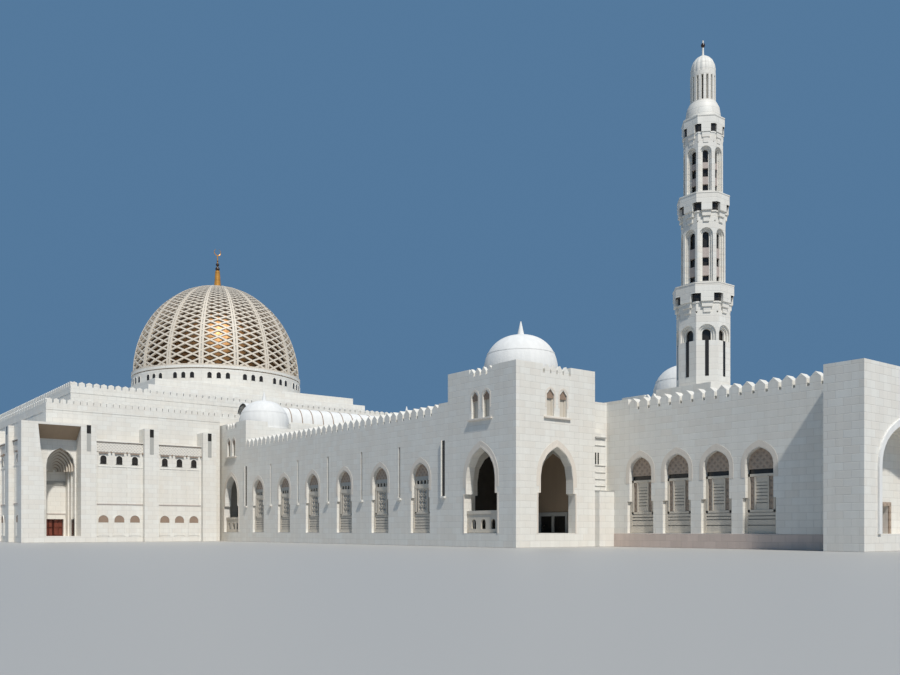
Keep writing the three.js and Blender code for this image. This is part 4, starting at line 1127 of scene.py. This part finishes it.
class MOSQUE_OT_links(bpy.types.Operator):
    """Ribbed vault over the hall's front edge, and the bay and foot of the front link."""

    bl_idname = "mosque.links"
    bl_label = "Links"

    def execute(self, context):
        self.vault()
        self.front_bays()
        return {"FINISHED"}

    def vault(self):
        low, high = cad_box("hall_front_vault")
        middle, half = (low[1] + high[1]) / 2, (high[1] - low[1]) / 2
        spring = HALL_TOP + GAP
        rise = high[2] - spring
        t = np.linspace(0, np.pi, 40)

        def shell(x0, x1, out, inner):
            """An arched sheet: y = a cos t, z = spring + b sin t, between two sizes of arch."""
            curves = [np.column_stack([(half + grow) * np.cos(t), spring + (rise + grow) * np.sin(t)])
                      for grow in (out, inner)]
            return band(*curves, x0, x1).turned(-90)

        thick = 0.35
        # The ribs stand 0.03 proud of the vault and are brown: painted shadow lines.
        ribs = [shell(x - 0.07, x + 0.07, -0.09, -0.13) for x in row(low[0] + 0.8, high[0] - 0.8, 13)]
        put("vault_ribs", joined(ribs).moved(y=middle), "brown_stone", smooth=True)
        parts = [shell(low[0], high[0], -0.12, -thick)]
        parts += [shell(x - 0.4, x + 0.4, 0.0, -thick) for x in (-12.5, 12.5)]
        parts.append(bar(low[0], high[0], half - thick, half, low[2], spring + 0.1))
        put("ribbed_vault", joined(parts).moved(y=middle), "roof_stone", ["hall_front_vault"], smooth=True)

    def front_bays(self):
        wide = 0.75
        lines = [across(wide, -0.08, 0, z, z + 0.07) for z in (5.85, 6.5, 7.15, 7.8, 9.75)]
        dark = [across(0.07, -0.05, 0, 7.95, 9.05).moved(x) for x in (-0.64, -0.28)]
        lintel, shelf = across(wide, -0.16, 0, 10.46, 10.58), bar(-0.78, 1.32, -0.65, 0, 5.3, 5.38)
        for name, forms, finish in (("link_bay_mouldings", lines, "wall_stone"),
                                    ("link_bay_slits", dark, "window_glass"),
                                    # The lintel and shelf are in painted shade, the wall colour darkened.
                                    ("link_bay_lintels", [lintel, shelf], "painted_shade_stone")):
            put_pair(name, joined(forms).moved(-6.84, -62.6), finish)


def gate_window():
    """Warm rim, tan lunette over a dark gap, a framed panel of slats and broad louvres below."""
    sill, spring = 1.33, 7.1
    louvres = ((sill, 1.96), (2.04, 2.46), (2.54, 2.74), (2.82, 3.06))
    rim = [band(pointed(3.46, 6.0, spring, 9.1), pointed(2.66, 6.0, spring, 8.55), -0.02, 0)]
    brown = [plate(pointed(2.58, 6.7, spring, 8.46), 0.42, 0.54), *twins(0.88, 0.18, 0.46, 0.54, 3.3, 6.12)]
    screen = [*twins(1.2, 0.1, 0.36, 0.5, 3.1, 6.3), *twins(1.4, 0.13, 0.36, 0.5, sill, 4.26),
              *twins(0.62, 0.06, 0.36, 0.52, 3.28, 6.12)]
    screen += [across(1.28, 0.36, 0.5, low, high) for low, high in ((6.08, 6.3), (3.1, 3.3))]
    screen += [across(0.58, 0.42, 0.54, low, high) for low, high in ((5.6, 6.1), (3.28, 3.84))]
    screen += [across(0.58, 0.42, 0.54, low, low + 0.22) for low in 3.92 + 0.285 * np.arange(6)]
    screen += [across(1.3, 0.38, 0.54, low, high) for low, high in louvres]
    backs = [across(1.3, 0.55, 0.59, 1.4, 3.2), across(0.6, 0.55, 0.59, 3.3, 6.2)]
    panes = [plate(footed(2.6, 3.08, 4.27, spring, 8.47), 0.6, 0.7)]
    return rim, screen, backs, brown, panes


class MOSQUE_OT_gate_wing(bpy.types.Operator):
    """Windows and plinths of the gate wing, and the arch and door frame of the porch."""

    bl_idname = "mosque.gate_wing"
    bl_label = "Gate wing"

    def execute(self, context):
        put_windows("gate", gate_window(), GATE_X, GATE_FIRST + GATE_BAY * np.arange(4))
        foot = bar(-GATE_X - 0.06, -GATE_X, -85.8, -63.25, 0, 1.25)
        put_pair("gate_wing_plinths", foot, "plinth_stone")
        floor = 1.3
        arch = band(pointed(11.3, floor, 6.4, 10.75), pointed(10.4, floor, 6.4, 10.2), -0.15, 0)
        put("porch_moulding", arch.moved(y=GATE_FRONT), "roof_stone")
        frames = [np.array([(-half, floor), (-half, head), (half, head), (half, floor)])
                  for half, head in ((1.5, 3.85), (1.2, 3.55))]
        put("porch_door_frame", band(*frames, -0.12, 0).moved(y=GATE_BACK - 0.6), "lunette_stone")
        return {"FINISHED"}


def octagon(flat, low, high, hole=0.0):
    """An eight-sided block or tube with its flats square to the axes."""
    outer, inner = (size / 2 / math.cos(math.pi / 8) for size in (flat, hole))
    profile = [(inner, low), (outer, low), (outer, high), (inner, high)]
    return revolved(profile, 8, loop=hole > 0).turned(22.5)


class MOSQUE_OT_minaret(bpy.types.Operator):
    """Three storeys of stepped arches with balconies on brackets, a slotted lantern and a ribbed dome."""

    bl_idname = "mosque.minaret"
    bl_label = "Minaret"

    def execute(self, context):
        # Width over the flats, foot, crown of the arches, deck, top, width of the balcony, share of a face
        storeys = [("lower", 4.7, 15.0, 20.7, 23.5, 24.5, 5.35, 0.82),
                   ("middle", 3.87, 23.7, 29.8, 32.05, 33.0, 4.57, 0.74),
                   ("upper", 3.45, 32.2, 37.5, 39.5, 40.35, 3.75, 0.72)]
        for name, flat, low, crown, deck, top, reach, share in storeys:
            side = flat * math.tan(math.pi / 8)
            radius = side * share / 2
            self.storey(name, flat, low + GAP, crown - radius, deck, side, radius)
            self.balcony(name, flat, deck, top, reach, side)
        self.lantern()
        return {"FINISHED"}

    def round_faces(self, form, flat):
        """The same wall piece on all eight faces."""
        return joined([form.moved(y=-flat / 2).turned(45 * k) for k in range(8)]).moved(y=MINARET_Y)

    def storey(self, name, flat, low, spring, deck, side, radius):
        """Eight faces with three concentric round arches stepping back to panels over a dark core."""
        upper = deck - 1.6
        foot = {"lower": 19.2, "middle": 24.8, "upper": 33.3}[name]
        widths = [2 * radius * share for share in (1.0, 0.76, 0.5)]
        curves = [rounded(width, foot, spring, 14) for width in widths]
        shell = band(surround(curves[0], side + 0.002, upper), curves[0], 0, 0.16)
        steps = [band(rounded(widths[i - 1] + 0.04, foot, spring, 14), curves[i], 0.15 * i, 0.15 * i + 0.17)
                 for i in (1, 2)]
        sill = across(side / 2, 0, 0.6, low, foot)
        collar = octagon(flat, upper, deck, hole=flat - 1.1).moved(y=MINARET_Y)
        wall = self.round_faces(joined([shell, sill, *steps]), flat) + collar
        put(f"minaret_{name}_storey_walls", wall, "tower_stone", [f"minaret_{name}_tier"])
        core = octagon(flat - 1.1, low, upper + 0.1).moved(y=MINARET_Y)
        put(f"minaret_{name}_core", core, "window_glass")
        if name == "lower":
            # The lower slots are near-black plates on the face: painted shadow.
            slot = across(0.17, -EDGE, 0, 15.9, foot)
            put("minaret_lower_slot_shadows", self.round_faces(slot, flat), "window_glass")
        else:
            marks = {"middle": ((27.1, 28.0), (25.4, 26.3)), "upper": ((35.5, 36.05), (34.0, 34.7))}[name]
            panels = [across(widths[2] / 2, 0.3, 0.56, low, high) for low, high in marks]
            put(f"minaret_{name}_panels", self.round_faces(joined(panels), flat), "pink_stone")

    def balcony(self, name, flat, deck, top, reach, side):
        """A plain parapet on brackets in the middle of each face, with painted shadow between them at the
        corners.
        """
        tip = (reach - flat) / 2
        rail = octagon(reach, deck, top - 0.1, hole=reach - 0.5)
        coping = octagon(reach + 0.06, top - 0.1, top, hole=reach - 0.56)
        floor = octagon(reach - 0.1, deck, top - 0.8, hole=flat - 1.0)
        ledge = octagon(flat + 0.5 * tip, deck - 0.82, deck - 0.7, hole=flat - 0.5)
        steps = [(0.3, 1.0, 0.72, 0.0), (0.25, 0.62, 1.2, 0.72), (0.17, 0.3, 1.7, 1.2)]
        bracket = [across(side * w, -tip * out, 0.02, deck - a, deck - b) for w, out, a, b in steps]
        brackets = self.round_faces(joined(bracket), flat)
        whole = joined([rail, coping, floor, ledge]).moved(y=MINARET_Y) + brackets
        put(f"minaret_{name}_balcony", whole, "tower_stone")
        # A near-black ring under the deck paints the shadow between the brackets.
        dark = octagon(flat + 0.35 * tip, deck - 0.69, deck - 0.01, hole=flat - 0.5).moved(y=MINARET_Y)
        put(f"minaret_{name}_corner_shadows", dark, "window_glass")

    def lantern(self):
        """Bell cap, sixteen slots round a core painted near-black as shadow, and a dome with r = R (1 + 0.045
        |sin 8 t|).
        """
        foot, floor, ceiling, slots, inside = 39.55 + GAP, 42.0, 44.9, 16, 0.8
        cap = [(0, foot), (1.62, foot), (1.62, 40.9), (1.52, 41.55), (1.3, floor), (0, floor)]
        base = revolved(cap, 48)
        column = across(0.125, -1.17, -inside, floor, 44.6)
        columns = joined([column.turned(360 / slots * k) for k in range(slots)])
        rings = [revolved([(inside, low), (r, low), (r, high), (inside, high)], 48, loop=True)
                 for low, high, r in ((floor, 42.15, 1.2), (44.5, ceiling, 1.17))]
        dome = [(0, ceiling), (1.1, ceiling), (1.12, 45.3), (1.05, 45.75), (0.9, 46.1), (0.65, 46.42),
                (0.34, 46.64), (0.14, 46.72), (0.09, 46.9), (0.06, 48.2), (0, 48.2)]
        ribbed = revolved(dome, 96)
        angle = np.arctan2(ribbed.points[:, 1], ribbed.points[:, 0])
        ribbed.points[:, :2] *= (1 + 0.045 * np.abs(np.sin(slots / 2 * angle)))[:, None]
        whole = joined([base, columns, *rings, ribbed]).moved(y=MINARET_Y)
        put("minaret_lantern_stone", whole, "tower_stone", ["minaret_lantern"], smooth=True)
        low, high, radius = floor + 0.01, ceiling - 0.1, inside - 0.01
        # A near-black core inside the columns paints the shade within the lantern.
        core = revolved([(0, low), (radius, low), (radius, high), (0, high)], 32)
        put("minaret_lantern_shadow_core", core.moved(y=MINARET_Y), "window_glass")
        tip = ball(0.19, 47.75, 20, 13, rise=0.24)
        put("minaret_ball", tip.moved(y=MINARET_Y), "dark_ball", smooth=True)


class MOSQUE_OT_stone(bpy.types.Operator):
    """Finishes of the walls, floors and roofs that stay as they are."""

    bl_idname = "mosque.stone"
    bl_label = "Walls, floors and roofs"

    def execute(self, context):
        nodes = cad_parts
        for node in nodes:
            if "floor" in node:
                dress("plinth_stone", node)
            elif node != "link_roof" and ("roof" in node or node == "hall_terrace"):
                dress("roof_stone", node)
            elif "door" not in node:
                dress("wall_stone", node)
        return {"FINISHED"}


class MOSQUE_OT_stage(bpy.types.Operator):
    """Pale floor, sun and sky light, and the camera at the photograph's place."""

    bl_idname = "mosque.stage"
    bl_label = "Stage"

    FLOOR_REACH = 120.0
    FLOOR_DROP = 0.001
    SENSOR = 36.0

    def execute(self, context):
        self.floor(context.scene)
        self.lights(context.scene)
        self.camera(context.scene)
        return {"FINISHED"}

    def floor(self, scene):
        mesh = bpy.data.meshes.new("pale_floor")
        reach, corners = self.FLOOR_REACH, ((-1, -1), (1, -1), (1, 1), (-1, 1))
        mesh.from_pydata([(reach * x, reach * y, -self.FLOOR_DROP) for x, y in corners], [], [(0, 1, 2, 3)])
        floor = bpy.data.objects.new("pale_floor", mesh)
        scene.collection.objects.link(floor)
        finish = Finish("pale_floor", Roughness=0.55)
        finish.shader.inputs["Base Color"].default_value = rgba(colours().floor)
        mesh.materials.append(finish.material)

    def lights(self, scene):
        sun = bpy.data.lights.new("sun", "SUN")
        sun.energy = sizes().sun
        sun.angle = math.radians(2.5)
        sun.color = (1.0, 0.965, 0.91)
        lamp = bpy.data.objects.new("sun", sun)
        lamp.rotation_euler = (math.radians(37), 0, math.radians(-15))
        scene.collection.objects.link(lamp)
        world = bpy.data.worlds.new("surroundings")
        world.use_nodes = True
        light = world.node_tree.nodes["Background"]
        light.inputs["Color"].default_value = rgba(colours().backdrop)
        light.inputs["Strength"].default_value = sizes().fill
        scene.world = world
        scene.view_settings.view_transform = "Standard"

    def camera(self, scene):
        """A level lens whose picture is shifted up, so that the horizon falls on its own pixel."""
        lens = bpy.data.cameras.new("camera")
        lens.sensor_width = self.SENSOR
        lens.lens = self.SENSOR * LENS_PIXELS / PICTURE_WIDE
        lens.shift_y = (HORIZON_PIXEL - PICTURE_TALL / 2) / PICTURE_WIDE
        lens.clip_start, lens.clip_end = 0.01, 400
        eye = bpy.data.objects.new("camera", lens)
        eye.location = [SCALE * place for place in EYE]
        eye.rotation_euler = (math.radians(90), 0, math.radians(VIEW_TURN))
        scene.collection.objects.link(eye)
        scene.camera = eye


STEPS = [MOSQUE_OT_stage, MOSQUE_OT_stone, MOSQUE_OT_great_dome, MOSQUE_OT_drum, MOSQUE_OT_hall_trim,
         MOSQUE_OT_corner_niches, MOSQUE_OT_wings, MOSQUE_OT_pavilions, MOSQUE_OT_links,
         MOSQUE_OT_gate_wing, MOSQUE_OT_minaret]


class MOSQUE_PT_looks(bpy.types.Panel):
    """Lists the building steps and their colours and sizes."""

    bl_idname = "MOSQUE_PT_looks"
    bl_label = "Mosque looks"
    bl_space_type = "VIEW_3D"
    bl_region_type = "UI"
    bl_category = "Mosque"

    def draw(self, context):
        for step in STEPS:
            self.layout.operator(step.bl_idname)
        for group in (context.scene.mosque_colours, context.scene.mosque_sizes):
            for name in group.bl_rna.properties.keys():
                if name not in ("rna_type", "name"):
                    self.layout.prop(group, name)


CLASSES = [MosqueColours, MosqueSizes, *STEPS, MOSQUE_PT_looks]


def register():
    for cls in CLASSES:
        bpy.utils.register_class(cls)
    bpy.types.Scene.mosque_colours = PointerProperty(type=MosqueColours)
    bpy.types.Scene.mosque_sizes = PointerProperty(type=MosqueSizes)


def unregister():
    del bpy.types.Scene.mosque_colours
    del bpy.types.Scene.mosque_sizes
    for cls in reversed(CLASSES):
        bpy.utils.unregister_class(cls)


def main():
    register()
    for step in STEPS:
        group, name = step.bl_idname.split(".")
        result = getattr(getattr(bpy.ops, group), name)()
        if result != {"FINISHED"}:
            raise RuntimeError(f"{step.bl_label} did not finish")


if __name__ == "__main__":
    main()
